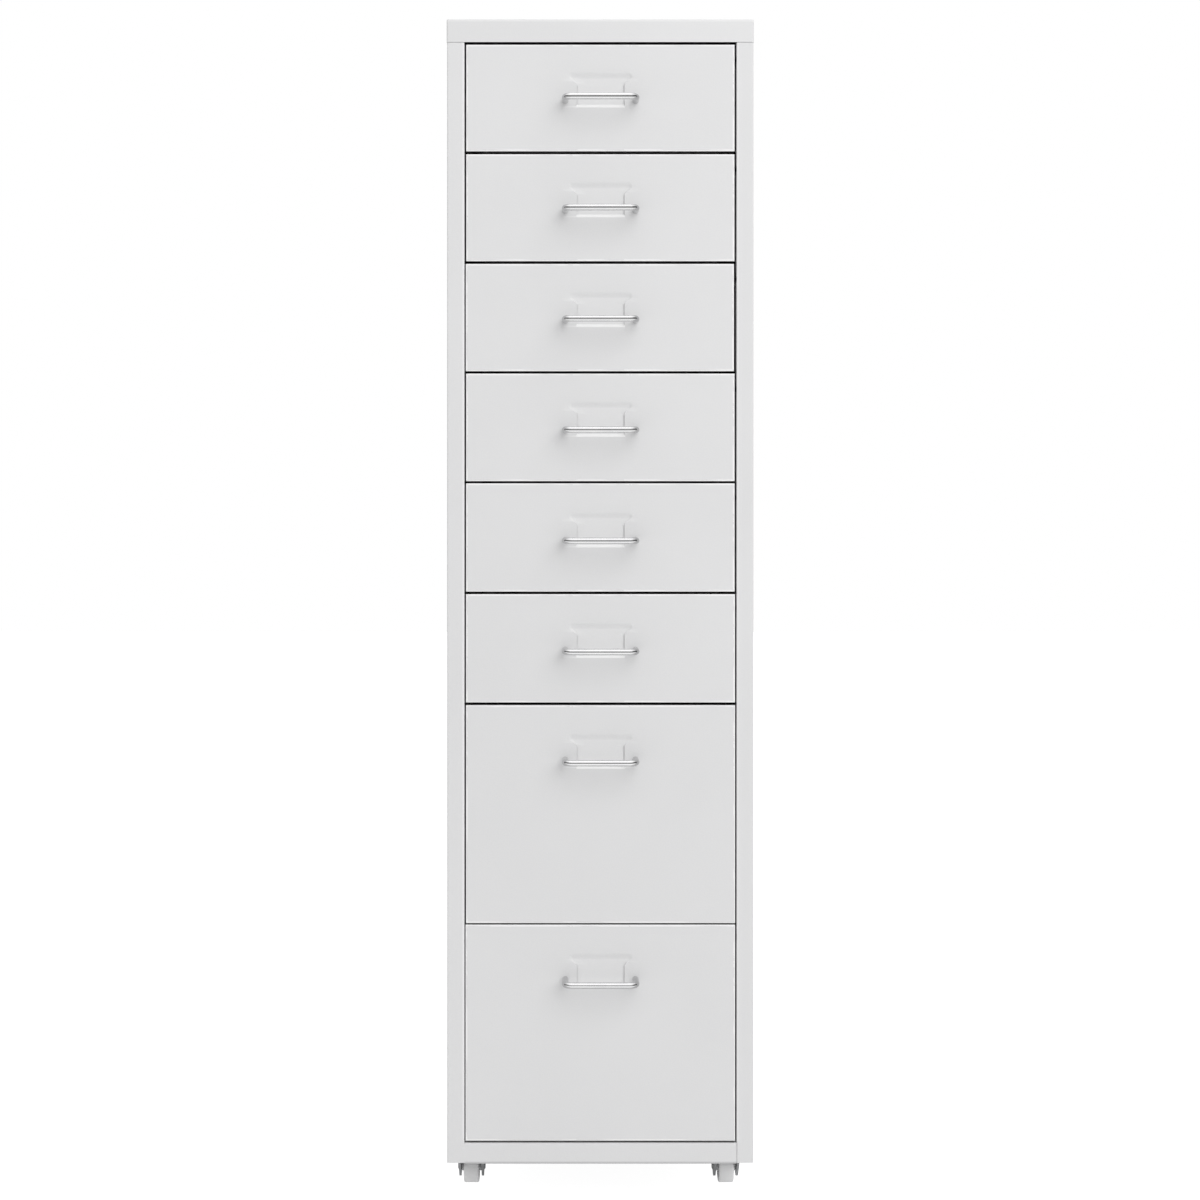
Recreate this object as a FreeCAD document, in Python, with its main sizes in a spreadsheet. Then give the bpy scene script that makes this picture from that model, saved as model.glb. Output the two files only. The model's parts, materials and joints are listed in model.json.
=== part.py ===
"""Mobile filing cabinet: a tall, narrow sheet-steel body on four swivel
casters, with six shallow drawers above two deep ones.

Frame: millimetres, +Z up, drawers facing -Y, +X to the right seen from the
front.  The origin lies on the floor under the middle of the bounding box.
Every driving dimension is a cell of the sheet "dims".
"""
import FreeCAD, Part
import math
import os
import Sketcher

V = FreeCAD.Vector
doc = FreeCAD.newDocument("mobile_filing_cabinet")
dims = doc.addObject("Spreadsheet::Sheet", "dims")
dims.Label = "dims"


# --------------------------------------------------------------------------
# sizes: a value together with the expression that gives it from the sheet
# --------------------------------------------------------------------------
class Size:
    def __init__(self, value, text):
        self.value = float(value)
        self.text = text

    @staticmethod
    def of(other):
        if isinstance(other, Size):
            return other
        number = round(float(other), 6)
        return Size(number, "%s" % number if number >= 0 else "(%s)" % number)

    def __add__(self, other):
        o = Size.of(other)
        return Size(self.value + o.value, "(%s + %s)" % (self.text, o.text))

    __radd__ = __add__

    def __sub__(self, other):
        o = Size.of(other)
        return Size(self.value - o.value, "(%s - %s)" % (self.text, o.text))

    def __rsub__(self, other):
        return Size.of(other) - self

    def __mul__(self, other):
        o = Size.of(other)
        return Size(self.value * o.value, "(%s * %s)" % (self.text, o.text))

    __rmul__ = __mul__

    def __truediv__(self, other):
        o = Size.of(other)
        return Size(self.value / o.value, "(%s / %s)" % (self.text, o.text))

    def __neg__(self):
        return Size(-self.value, "(-1 * %s)" % self.text)


row = [0]


def cell(alias, value, note):
    """One driving dimension: note, value and alias on a row of the sheet."""
    row[0] += 1
    dims.set("A%d" % row[0], note)
    dims.set("B%d" % row[0], "%s" % value)
    dims.setAlias("B%d" % row[0], alias)
    return Size(value, "dims.%s" % alias)


# overall
cover_wide = cell("cover_wide", 280, "width over the top cover")
front_at = cell("front_at", -180, "y of the front plane")
back_at = cell("back_at", 203, "y of the cover's back lip")
cover_top = cell("cover_top", 1090, "height of the top")
floor_gap = cell("floor_gap", 47, "underside of the bottom panel above the floor")
lip_high = cell("lip_high", 21, "height of the cover's lips and of the plinth")
skin = cell("skin", 0.7, "sheet of the carcass")
skin_base = cell("skin_base", 1.0, "sheet of the bottom panel")
bend = cell("bend", 0.5, "inner bend radius")
edge_round = cell("edge_round", 1.5, "outer edge radius of the cover")
panel_wide = cell("panel_wide", 279.2, "width over the side panels")
opening_wide = cell("opening_wide", 247, "clear width between the front posts")
lip_deep = cell("lip_deep", 17, "depth of the posts' return lips")
rear_lip = cell("rear_lip", 14.6, "depth of the rear return lips")
foot_flange = cell("foot_flange", 32, "width of the side panels' bottom flange")
head_flange = cell("head_flange", 28, "width of the side panels' top flange")
seam = cell("seam", 0.4, "seam between the cover and the posts")

# drawers
low_gap = cell("low_gap", 68, "height of the lowest gap's centre line")
pitch_small = cell("pitch_small", 100, "pitch of a shallow drawer")
pitch_large = cell("pitch_large", 200, "pitch of a deep drawer")
gap = cell("gap", 2.2, "gap between fronts")
front_wide = cell("front_wide", 244.2, "width of a drawer front")
front_deep = cell("front_deep", 12, "depth of a front's returns")
foot_deep = cell("foot_deep", 4, "depth of a front's bottom return")
skin_front = cell("skin_front", 0.8, "sheet of the fronts and runners")
front_round = cell("front_round", 0.8, "edge radius of the fronts")
skin_tray = cell("skin_tray", 0.6, "sheet of the trays")
tray_wide = cell("tray_wide", 216.8, "width over the trays' sides")
tray_low = cell("tray_low", 5, "tray bottom above the lower gap line")
tray_back = cell("tray_back", 185, "y of the trays' back")
ledge = cell("ledge", 17, "runner ledge below the upper gap line")
hem_high = cell("hem_high", 5.2, "height of the tray flange's hem")
slide_play = cell("slide_play", 0.3, "play between the flange and its ledge")
travel = cell("travel", 290, "travel of a drawer")

# runners
runner_in = cell("runner_in", 112, "inner edge of the runner lips from the middle")
runner_high = cell("runner_high", 6, "clear height in a runner")
runner_front = cell("runner_front", -159, "y of the runner lips' front end")
tab_wide = cell("tab_wide", 5, "width of the stop tabs")
tab_deep = cell("tab_deep", 2.5, "depth of the front stop tab")

# card pocket pressed into each front
card_top = cell("card_top", 28.3, "top edge below the upper gap line")
card_neck = cell("card_neck", 37.3, "end of the flare below the upper gap line")
card_foot = cell("card_foot", 54.6, "end of the flat below the upper gap line")
card_end = cell("card_end", 58.8, "bottom edge below the upper gap line")
card_wide = cell("card_wide", 42.8, "width of the window")
card_flare = cell("card_flare", 54.6, "width of the window at its top")
card_deep = cell("card_deep", 1.5, "depth of the pocket")

# handles
wire = cell("wire", 6, "diameter of the handle wire")
handle_pitch = cell("handle_pitch", 64, "distance between the handle's legs")
handle_out = cell("handle_out", 22, "wire centre in front of the panel")
handle_bend = cell("handle_bend", 6.5, "centre line bend radius of the handle")
handle_drop = cell("handle_drop", 53.6, "handle below the upper gap line")
handle_screw = cell("handle_screw", 4, "thread of the handle screws")
handle_hole = cell("handle_hole", 4.4, "hole in the front for a handle screw")
handle_head = cell("handle_head", 8, "head of the handle screws")
handle_head_high = cell("handle_head_high", 2.4, "height of the handle screws' heads")
handle_bore = cell("handle_bore", 9, "depth of the thread in the legs")

# sheet metal screws
screw_head = cell("screw_head", 7.4, "head of the sheet metal screws")
screw_head_high = cell("screw_head_high", 2.0, "height of those heads")
screw_shank = cell("screw_shank", 3.6, "shank of the sheet metal screws")
screw_hole = cell("screw_hole", 3.8, "holes for the sheet metal screws")
screw_long = cell("screw_long", 9, "length of the sheet metal screws")
screw_row = cell("screw_row", 131.5, "screw rows from the middle")

# casters
caster_row = cell("caster_row", 121.7, "swivel axes from the middle")
caster_front = cell("caster_front", 78, "front swivel axes behind the front plane")
caster_rear = cell("caster_rear", 56, "rear swivel axes before the back")
trail = cell("trail", 18, "wheel axle behind the swivel axis")
wheel_dia = cell("wheel_dia", 32, "wheel diameter")
wheel_wide = cell("wheel_wide", 14.5, "wheel width")
wheel_round = cell("wheel_round", 1.8, "tread edge radius")
wheel_bore = cell("wheel_bore", 5.3, "bore of the wheel")
hub_dia = cell("hub_dia", 10, "hub diameter")
hub_wide = cell("hub_wide", 18.8, "hub width")
rim_in = cell("rim_in", 23, "inner diameter of the rim")
web_wide = cell("web_wide", 6, "thickness of the wheel's web")
axle_dia = cell("axle_dia", 5, "axle diameter")
axle_head = cell("axle_head", 8, "axle head diameter")
axle_head_high = cell("axle_head_high", 1.4, "axle head height")
fork_out = cell("fork_out", 23.5, "width over the fork's ears")
fork_skin = cell("fork_skin", 2.0, "sheet of the fork")
fork_top = cell("fork_top", 36.7, "height of the fork's crown")
ear_round = cell("ear_round", 9.8, "end radius of the ears")
crown_dia = cell("crown_dia", 24, "diameter of the crown's race")
pin_dia = cell("pin_dia", 6, "king pin diameter")
pin_head = cell("pin_head", 9.4, "king pin head diameter")
race_dia = cell("race_dia", 27.2, "diameter of the race cap")
race_low = cell("race_low", 37.4, "lower edge of the race cap")
race_seat = cell("race_seat", 40.8, "ball seat in the race cap")
race_top = cell("race_top", 42.2, "top of the race cap")
ball_dia = cell("ball_dia", 3.8, "ball diameter")
ball_ring = cell("ball_ring", 8.5, "radius of the ball ring")
stud_dia = cell("stud_dia", 8, "thread of the caster studs")
stud_top = cell("stud_top", 59.5, "top of the caster studs")
collar_flats = cell("collar_flats", 13, "width across flats of the stud collars")
nut_flats = cell("nut_flats", 13, "width across flats of the nuts")
nut_high = cell("nut_high", 6.5, "height of the nuts")
washer_dia = cell("washer_dia", 16, "washer diameter")
washer_high = cell("washer_high", 1.4, "washer height")
stud_hole = cell("stud_hole", 8.4, "holes for the studs")

doc.recompute()

ZERO = Size.of(0)


# --------------------------------------------------------------------------
# sketches and features
# --------------------------------------------------------------------------
def path_of(points, radii):
    """Closed outline of lines and tangent arcs.

    points are (Size, Size); radii gives the rounding of a corner by its
    index.  Returns segments ("line", p, q) and ("arc", p, q, centre).
    """
    count = len(points)
    corners = []
    for i, (px, py) in enumerate(points):
        radius = radii.get(i)
        if radius is None:
            corners.append(((px, py), (px, py), None))
            continue
        ax, ay = points[i - 1]
        bx, by = points[(i + 1) % count]
        ux, uy = px.value - ax.value, py.value - ay.value
        wx, wy = bx.value - px.value, by.value - py.value
        lu, lw = math.hypot(ux, uy), math.hypot(wx, wy)
        ux, uy, wx, wy = ux / lu, uy / lu, wx / lw, wy / lw
        turn = math.atan2(ux * wy - uy * wx, ux * wx + uy * wy)
        reach = math.tan(abs(turn) / 2)
        side = 1 if turn > 0 else -1
        start = (px - radius * (ux * reach), py - radius * (uy * reach))
        stop = (px + radius * (wx * reach), py + radius * (wy * reach))
        centre = (start[0] - radius * (side * uy), start[1] + radius * (side * ux))
        corners.append((start, stop, (centre, side)))
    segments = []
    for i in range(count):
        start, stop, arc = corners[i]
        if arc is not None:
            segments.append(("arc", start, stop, arc[0], arc[1]))
        segments.append(("line", stop, corners[(i + 1) % count][0]))
    # the outline starts after a line, so that no arc ends at its first point
    return segments


def poly(points, radii=None):
    pts = [(Size.of(x), Size.of(y)) for x, y in points]
    return ("path", path_of(pts, radii or {}))


def rect(x0, y0, x1, y1, radius=None):
    radii = {i: radius for i in range(4)} if radius is not None else {}
    return poly([(x0, y0), (x1, y0), (x1, y1), (x0, y1)], radii)


def disc(x, y, diameter):
    return ("circle", Size.of(x), Size.of(y), Size.of(diameter) / 2)


def folded(points, thick, inner=None):
    """Section of a folded sheet: the outline of a path of straight runs at
    right angles, with the sheet on the left of the path."""
    pts = [(Size.of(x), Size.of(y)) for x, y in points]
    last = len(pts) - 1
    ways = []
    for i in range(last):
        dx = pts[i + 1][0].value - pts[i][0].value
        dy = pts[i + 1][1].value - pts[i][1].value
        length = math.hypot(dx, dy)
        ways.append((round(dx / length), round(dy / length)))
    outer, shifted, turns = [], [], []
    for i in range(last + 1):
        before = ways[max(i - 1, 0)]
        after = ways[min(i, last - 1)]
        nx, ny = -after[1], after[0]
        if 0 < i < last and before != after:
            nx, ny = nx - before[1], ny + before[0]
            turns.append(before[0] * after[1] - before[1] * after[0])
        else:
            turns.append(0)
        x, y = pts[i]
        outer.append((x, y))
        shifted.append((x + thick * nx if nx else x, y + thick * ny if ny else y))
    points2 = outer + shifted[::-1]
    radii = {}
    if inner is not None:
        size = len(points2)
        for i, turn in enumerate(turns):
            if turn > 0:
                radii[i], radii[size - 1 - i] = inner + thick, inner
            elif turn < 0:
                radii[i], radii[size - 1 - i] = inner, inner + thick
    return poly(points2, radii)


ROLES = {"XY": "XY_Plane", "XZ": "XZ_Plane", "YZ": "YZ_Plane"}


def new_body(label):
    body = doc.addObject("PartDesign::Body", label)
    body.Label = label
    return body


def pin(sketch, kind, geo, pos, size):
    number = sketch.addConstraint(Sketcher.Constraint(kind, -1, 1, geo, pos, size.value))
    sketch.setExpression("Constraints[%d]" % number, size.text)


def draw(sketch, loop):
    if loop[0] == "circle":
        geo = sketch.addGeometry(Part.Circle(V(loop[1].value, loop[2].value, 0), V(0, 0, 1), loop[3].value), False)
        pin(sketch, "DistanceX", geo, 3, loop[1])
        pin(sketch, "DistanceY", geo, 3, loop[2])
        number = sketch.addConstraint(Sketcher.Constraint("Radius", geo, loop[3].value))
        sketch.setExpression("Constraints[%d]" % number, loop[3].text)
        return
    segments = loop[1]
    ids = []
    for seg in segments:
        (px, py), (qx, qy) = seg[1], seg[2]
        if seg[0] == "line":
            geo = sketch.addGeometry(Part.LineSegment(V(px.value, py.value, 0), V(qx.value, qy.value, 0)), False)
            ids.append((geo, 1, 2))
        else:
            (cx, cy), side = seg[3], seg[4]
            radius = math.hypot(px.value - cx.value, py.value - cy.value)
            a = math.atan2(py.value - cy.value, px.value - cx.value)
            b = math.atan2(qy.value - cy.value, qx.value - cx.value)
            if side < 0:
                a, b = b, a
            if b < a:
                b += 2 * math.pi
            circle = Part.Circle(V(cx.value, cy.value, 0), V(0, 0, 1), radius)
            geo = sketch.addGeometry(Part.ArcOfCircle(circle, a, b), False)
            ids.append((geo, 1, 2) if side > 0 else (geo, 2, 1))
    count = len(segments)
    for i in range(count):
        a, b = ids[i], ids[(i + 1) % count]
        sketch.addConstraint(Sketcher.Constraint("Coincident", a[0], a[2], b[0], b[1]))
    for i, seg in enumerate(segments):
        geo, start = ids[i][0], ids[i][1]
        x, y = seg[1]
        before = segments[i - 1]
        keep_x = keep_y = True
        if before[0] == "arc":
            (cx, cy) = before[3]
            if abs(x.value - cx.value) > abs(y.value - cy.value):
                keep_x = False
            else:
                keep_y = False
        if keep_x:
            pin(sketch, "DistanceX", geo, start, x)
        if keep_y:
            pin(sketch, "DistanceY", geo, start, y)
        if seg[0] == "arc":
            pin(sketch, "DistanceX", geo, 3, seg[3][0])
            pin(sketch, "DistanceY", geo, 3, seg[3][1])


def new_sketch(body, name, plane, at):
    sketch = body.newObject("Sketcher::SketchObject", name)
    support = [f for f in body.Origin.OriginFeatures if f.Role == ROLES[plane]][0]
    sketch.AttachmentSupport = [(support, "")]
    sketch.MapMode = "FlatFace"
    at = Size.of(at)
    if plane == "XZ":
        at = -at
    sketch.AttachmentOffset = FreeCAD.Placement(V(0, 0, at.value), FreeCAD.Rotation())
    sketch.setExpression("AttachmentOffset.Base.z", at.text)
    return sketch


def set_length(feature, name, size):
    setattr(feature, name, size.value)
    feature.setExpression(name, size.text)


def pad(body, name, plane, loops, low, high):
    """Adds the outline between two coordinates along the plane's axis."""
    low, high = Size.of(low), Size.of(high)
    sketch = new_sketch(body, name + "_outline", plane, high if plane == "XZ" else low)
    for loop in loops:
        draw(sketch, loop)
    feature = body.newObject("PartDesign::Pad", name)
    feature.Profile = sketch
    set_length(feature, "Length", high - low)
    return feature


def cut(body, name, plane, loops, low, high):
    """Removes the outline between two coordinates along the plane's axis."""
    low, high = Size.of(low), Size.of(high)
    sketch = new_sketch(body, name + "_outline", plane, low if plane == "XZ" else high)
    for loop in loops:
        draw(sketch, loop)
    feature = body.newObject("PartDesign::Pocket", name)
    feature.Profile = sketch
    set_length(feature, "Length", high - low)
    cuts.append(feature)
    return feature


def turned(body, name, plane, loops, axis, at=0):
    """Revolves an outline once round the sketch's own H or V axis."""
    sketch = new_sketch(body, name + "_outline", plane, at)
    for loop in loops:
        draw(sketch, loop)
    feature = body.newObject("PartDesign::Revolution", name)
    feature.Profile = sketch
    feature.ReferenceAxis = (sketch, [axis])
    feature.Angle = 360
    return feature


def rounded(body, name, base, radius, pick):
    """Fillets the edges of base that pick chooses."""
    doc.recompute()
    edges = ["Edge%d" % (i + 1) for i, edge in enumerate(base.Shape.Edges) if pick(edge)]
    if not edges:
        raise RuntimeError("no edge picked for %s" % name)
    feature = body.newObject("PartDesign::Fillet", name)
    feature.Base = (base, edges)
    set_length(feature, "Radius", radius)
    return feature


def put(body, x=None, y=None, z=None):
    for axis, size in (("x", x), ("y", y), ("z", z)):
        if size is not None:
            size = Size.of(size)
            body.setExpression("Placement.Base.%s" % axis, size.text)


def near(a, b, tolerance=0.01):
    return abs(a - b) < tolerance


cuts = []
bodies = []


def done(body):
    bodies.append(body)
    return body


# --------------------------------------------------------------------------
# carcass
# --------------------------------------------------------------------------
back_in = back_at - skin                    # inner face of the cover's back lip
panel_back = back_in - skin                 # inner face of the back panel
half_open = opening_wide / 2
half_panel = panel_wide / 2
base_top = floor_gap + skin_base            # upper face of the bottom panel
cover_low = cover_top - lip_high            # lower edge of the cover's lips
cover_in = cover_top - skin                 # inner face of the cover's top
front_in = front_at + skin                  # inner face of the cover's front lip
front_axis = front_at + caster_front        # y of the front swivel axes
rear_axis = back_at - caster_rear           # y of the rear swivel axes
caster_places = [(s, x * caster_row, y)
                 for y, row_name in ((front_axis, "front"), (rear_axis, "rear"))
                 for s, x in (("%s_left" % row_name, -1), ("%s_right" % row_name, 1))]
screw_heights = (80, 320, 560, 800, 1040)


def side_panel(side, label):
    """Web with a front post, its return lip, a rear flange with its lip, a
    top flange under the cover and a bottom flange on the bottom panel."""
    body = new_body(label)
    run = [(half_open, front_at + lip_deep), (half_open, front_at),
           (half_panel, front_at), (half_panel, panel_back),
           (half_open, panel_back), (half_open, panel_back - rear_lip)]
    if side < 0:
        run = [(-x, y) for x, y in run][::-1]
    pad(body, "section", "XY", [folded(run, skin, bend)], base_top, cover_low - seam)
    # upper end, stepped in to stand inside the cover's lips
    inside = cover_wide / 2 - skin
    low, high = (inside - skin, inside) if side > 0 else (-inside, skin - inside)
    pad(body, "tongue", "XY", [rect(low, front_in + 1.1, high, panel_back)],
        cover_low - 9, cover_in)
    edge = half_open if side > 0 else -half_panel + 0.5
    edge2 = half_panel - 0.5 if side > 0 else -half_open
    pad(body, "tongue_rear", "XY", [rect(edge, panel_back - skin, edge2, panel_back)],
        cover_low - 1, cover_in)
    a, b = (inside - head_flange, inside - 0.2) if side > 0 else (0.2 - inside, head_flange - inside)
    pad(body, "head_flange", "XY", [rect(a, front_in + 1.1, b, panel_back)], cover_in - skin, cover_in)
    a, b = (half_panel - foot_flange, half_panel - 0.2) if side > 0 else (0.2 - half_panel, foot_flange - half_panel)
    pad(body, "foot_flange", "XY", [rect(a, front_at + 2, b, panel_back - 2)], base_top, base_top + skin)
    cut(body, "stud_holes", "XY",
        [disc(side * caster_row, front_axis, stud_hole), disc(side * caster_row, rear_axis, stud_hole)],
        base_top - 1, base_top + skin + 1)
    cut(body, "screw_holes", "XZ",
        [disc(side * screw_row, height, screw_hole) for height in screw_heights] +
        [disc(side * screw_row, cover_top - lip_high / 2, screw_hole)],
        panel_back - 2, panel_back + 1)
    return done(body)


side_panel(-1, "side_panel_left")
side_panel(1, "side_panel_right")

# flat back, behind the rear flanges and the bottom panel's rear lip
back = new_body("back_panel")
back_half = cover_wide / 2 - skin - bend - 0.1
pad(back, "sheet", "XZ", [rect(-back_half, base_top + 0.5, back_half, cover_in - 0.3)], panel_back, back_in)
cut(back, "screw_holes", "XZ",
    [disc(s * screw_row, height, screw_hole) for s in (-1, 1) for height in screw_heights] +
    [disc(s * screw_row, cover_top - lip_high / 2, screw_hole) for s in (-1, 1)] +
    [disc(s * 60, base_top + 10, screw_hole) for s in (-1, 1)],
    panel_back - 1, back_in + 1)
done(back)

# top cover: a pan with lips on all four sides and a hem behind its front lip
cover = new_body("top_cover")
half_cover = cover_wide / 2
block = pad(cover, "block", "XY", [rect(-half_cover, front_at, half_cover, back_at, edge_round)],
            cover_low, cover_top)
soft = rounded(cover, "soft_edge", block, edge_round,
               lambda e: near(e.BoundBox.ZMin, cover_top.value) and near(e.BoundBox.ZMax, cover_top.value))
cut(cover, "hollow", "XY",
    [rect(skin - half_cover, front_in, half_cover - skin, back_in, bend)],
    cover_low - 1, cover_in)
pad(cover, "hem", "XZ", [rect(-137.5, cover_low, 137.5, cover_low + 9)], front_in - 0.2, front_in + skin)
cut(cover, "screw_holes", "XZ",
    [disc(s * screw_row, cover_top - lip_high / 2, screw_hole) for s in (-1, 1)],
    back_in - 1, back_at + 1)
done(cover)

# bottom panel: the plinth is its front lip, between the posts
base = new_body("bottom_panel")
plinth_top = low_gap - gap / 2
plinth_half = half_open - 0.15
pad(base, "section", "YZ",
    [folded([(front_at + 10, plinth_top), (front_at, plinth_top), (front_at, floor_gap),
             (panel_back, floor_gap), (panel_back, plinth_top - 1)], skin_base, bend)],
    -plinth_half, plinth_half)
pad(base, "wings", "XY", [rect(-137, front_at + 5, 137, back_at - 6, 4)], floor_gap, base_top)
cut(base, "stud_holes", "XY", [disc(x, y, stud_hole) for s, x, y in caster_places],
    floor_gap - 1, base_top + 1)
cut(base, "screw_holes", "XZ", [disc(s * 60, base_top + 10, screw_hole) for s in (-1, 1)],
    panel_back - 2, panel_back + 1)
done(base)

# drawers from the top down: name, height of the lower gap line, pitch
drawers = []
level = low_gap
for number in range(8, 0, -1):
    tall = pitch_large if number > 6 else pitch_small
    drawers.append((number, level, tall))
    level = level + tall
drawers.reverse()


def runners(side, label):
    """One channel per drawer, open towards the drawer, spot-welded to the
    return lips; a tab at its front end zone stops the drawer's lug and a
    tab at the rear end stops the tray."""
    body = new_body(label)
    lip_out = half_open + skin
    web_out = lip_out + skin_front
    lug_front = tray_back - 1.6
    for number, level, tall in drawers:
        top = level + tall
        low = top - ledge - skin_front
        high = top - ledge + runner_high + skin_front
        run = [(runner_in, low), (web_out, low), (web_out, high), (runner_in, high)]
        if side < 0:
            run = [(-x, y) for x, y in run][::-1]
        pad(body, "channel_%d" % number, "XZ", [folded(run, skin_front, bend)],
            runner_front, tray_back + slide_play + skin_front)
        a, b = (lip_out, web_out) if side > 0 else (-web_out, -lip_out)
        pad(body, "web_%d" % number, "YZ", [rect(front_at + 1.5, low + 1.8, panel_back - 1.6, high - 1.8)], a, b)
        a, b = (runner_in + 1, runner_in + 1 + tab_wide) if side > 0 else (-runner_in - 1 - tab_wide, -runner_in - 1)
        stop_back = lug_front - travel - slide_play
        pad(body, "front_stop_%d" % number, "XY", [rect(a, stop_back - skin_front, b, stop_back)],
            high - skin_front - tab_deep, high - skin_front / 2)
        pad(body, "rear_stop_%d" % number, "XY",
            [rect(a, tray_back + slide_play, b, tray_back + slide_play + skin_front)],
            low + skin_front / 2, low + skin_front + 4)
    return done(body)


runners(-1, "runners_left")
runners(1, "runners_right")


def screws(label, places, seat):
    """Pan-head sheet metal screws, driven from behind along -Y."""
    body = new_body(label)
    heads = pad(body, "heads", "XZ", [disc(x, z, screw_head) for x, z in places], seat, seat + screw_head_high)
    outer = (seat + screw_head_high).value
    rounded(body, "domes", heads, screw_head_high * 0.6,
            lambda e: near(e.BoundBox.YMin, outer) and near(e.BoundBox.YMax, outer))
    pad(body, "shanks", "XZ", [disc(x, z, screw_shank) for x, z in places], seat - screw_long, seat + 0.5)
    cross = []
    for x, z in places:
        x, z = Size.of(x), Size.of(z)
        arm, leg = 2.0, 0.5
        cross.append(poly([(x - arm, z - leg), (x - leg, z - leg), (x - leg, z - arm), (x + leg, z - arm),
                           (x + leg, z - leg), (x + arm, z - leg), (x + arm, z + leg), (x + leg, z + leg),
                           (x + leg, z + arm), (x - leg, z + arm), (x - leg, z + leg), (x - arm, z + leg)]))
    cut(body, "recesses", "XZ", cross, seat + screw_head_high - 1.2, seat + screw_head_high + 1)
    return done(body)


screws("back_panel_screws",
       [(s * screw_row, h) for s in (-1, 1) for h in screw_heights] +
       [(Size.of(s * 60), base_top + 10) for s in (-1, 1)], back_in)
screws("cover_screws", [(s * screw_row, cover_top - lip_high / 2) for s in (-1, 1)], back_at)


# --------------------------------------------------------------------------
# drawers
# --------------------------------------------------------------------------
def tray(number, level, tall):
    """Folded tray: bottom, sides and outward flanges with upright hems are
    one section; the back, the front flanges and the stop lugs close it."""
    body = new_body("drawer_%d_tray" % number)
    half = tray_wide / 2
    out = front_wide / 2
    flange = tall - ledge + slide_play
    hem = flange + hem_high
    pad(body, "section", "XZ",
        [folded([(-out, hem), (-out, flange), (-half, flange), (-half, tray_low),
                 (half, tray_low), (half, flange), (out, flange), (out, hem)], skin_tray, bend)],
        front_at + skin_front, tray_back)
    pad(body, "back_wall", "XZ",
        [rect(-half + 0.3, tray_low + 0.3, half - 0.3, flange + skin_tray, bend)],
        tray_back - skin_tray, tray_back)
    pad(body, "front_flanges", "XZ",
        [rect(-half + 0.3, tray_low + 0.4, 12.3 - half, flange + 0.3),
         rect(half - 12.3, tray_low + 0.4, half - 0.3, flange + 0.3)],
        front_at + skin_front, front_at + skin_front + skin_tray)
    pad(body, "front_foot", "XZ", [rect(12 - half, tray_low + 0.3, half - 12, tray_low + 12)],
        front_at + skin_front, front_at + skin_front + skin_tray)
    lug = runner_in + 1
    pad(body, "stop_lugs", "XZ",
        [rect(lug, flange + 0.2, lug + tab_wide, flange + hem_high - 0.3),
         rect(-lug - tab_wide, flange + 0.2, -lug, flange + hem_high - 0.3)],
        tray_back - 1.6, tray_back - 0.6)
    room = out - skin_front - 0.2
    cut(body, "return_notches", "XZ",
        [rect(room, flange - 1, out + 1, hem + 1), rect(-out - 1, flange - 1, -room, hem + 1)],
        front_at, front_at + front_deep + 0.3)
    put(body, z=level)
    return done(body)


def front(number, level, tall):
    """Pan with returns on all sides, the bottom one shorter, and a card pocket
    pressed into it: the strip between two side cuts is pushed back, and
    slopes join it at its top and bottom."""
    body = new_body("drawer_%d_front" % number)
    half = front_wide / 2
    low, high = gap / 2, tall - gap / 2
    inner = front_at + skin_front
    block = pad(body, "block", "XZ", [rect(-half, low, half, high)], front_at, front_at + front_deep)
    plane = front_at.value
    rounded(body, "soft_edge", block, front_round,
            lambda e: near(e.BoundBox.YMin, plane) and near(e.BoundBox.YMax, plane))
    cut(body, "hollow", "XZ",
        [rect(skin_front - half, low + skin_front, half - skin_front, high - skin_front)],
        inner, front_at + front_deep + 1)
    cut(body, "short_foot", "XZ", [rect(-half - 1, low - 1, half + 1, low + skin_front + 0.4)],
        front_at + foot_deep, front_at + front_deep + 1)
    top, neck, foot, end = (tall - card_top, tall - card_neck, tall - card_foot, tall - card_end)
    wide, flare = card_wide / 2, card_flare / 2
    floor = front_at + card_deep                  # front face of the strip
    cut(body, "window", "XZ",
        [poly([(-wide, end), (wide, end), (wide, neck), (flare, top), (-flare, top), (-wide, neck)])],
        front_at - 0.5, inner + 0.3)
    pad(body, "strip", "YZ",
        [poly([(front_at, top), (floor, top - 2), (floor, foot), (front_at, end),
               (inner, end - 0.8), (floor + skin_front, foot - 0.5),
               (floor + skin_front, top - 1.7), (inner, top + 0.6)])],
        -wide, wide)
    pad(body, "flare", "XZ",
        [poly([(-wide, neck), (wide, neck), (flare, top - 2), (-flare, top - 2)])],
        floor, floor + skin_front)
    pad(body, "flare_slope", "YZ",
        [poly([(front_at, top), (floor, top - 2), (floor + skin_front, top - 2.2),
               (floor + skin_front, top - 1.7), (inner, top + 0.6)])],
        -flare, flare)
    cut(body, "screw_holes", "XZ",
        [disc(s * (handle_pitch / 2), tall - handle_drop, handle_hole) for s in (-1, 1)],
        front_at - 0.5, inner + 0.5)
    put(body, z=level)
    return done(body)


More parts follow.
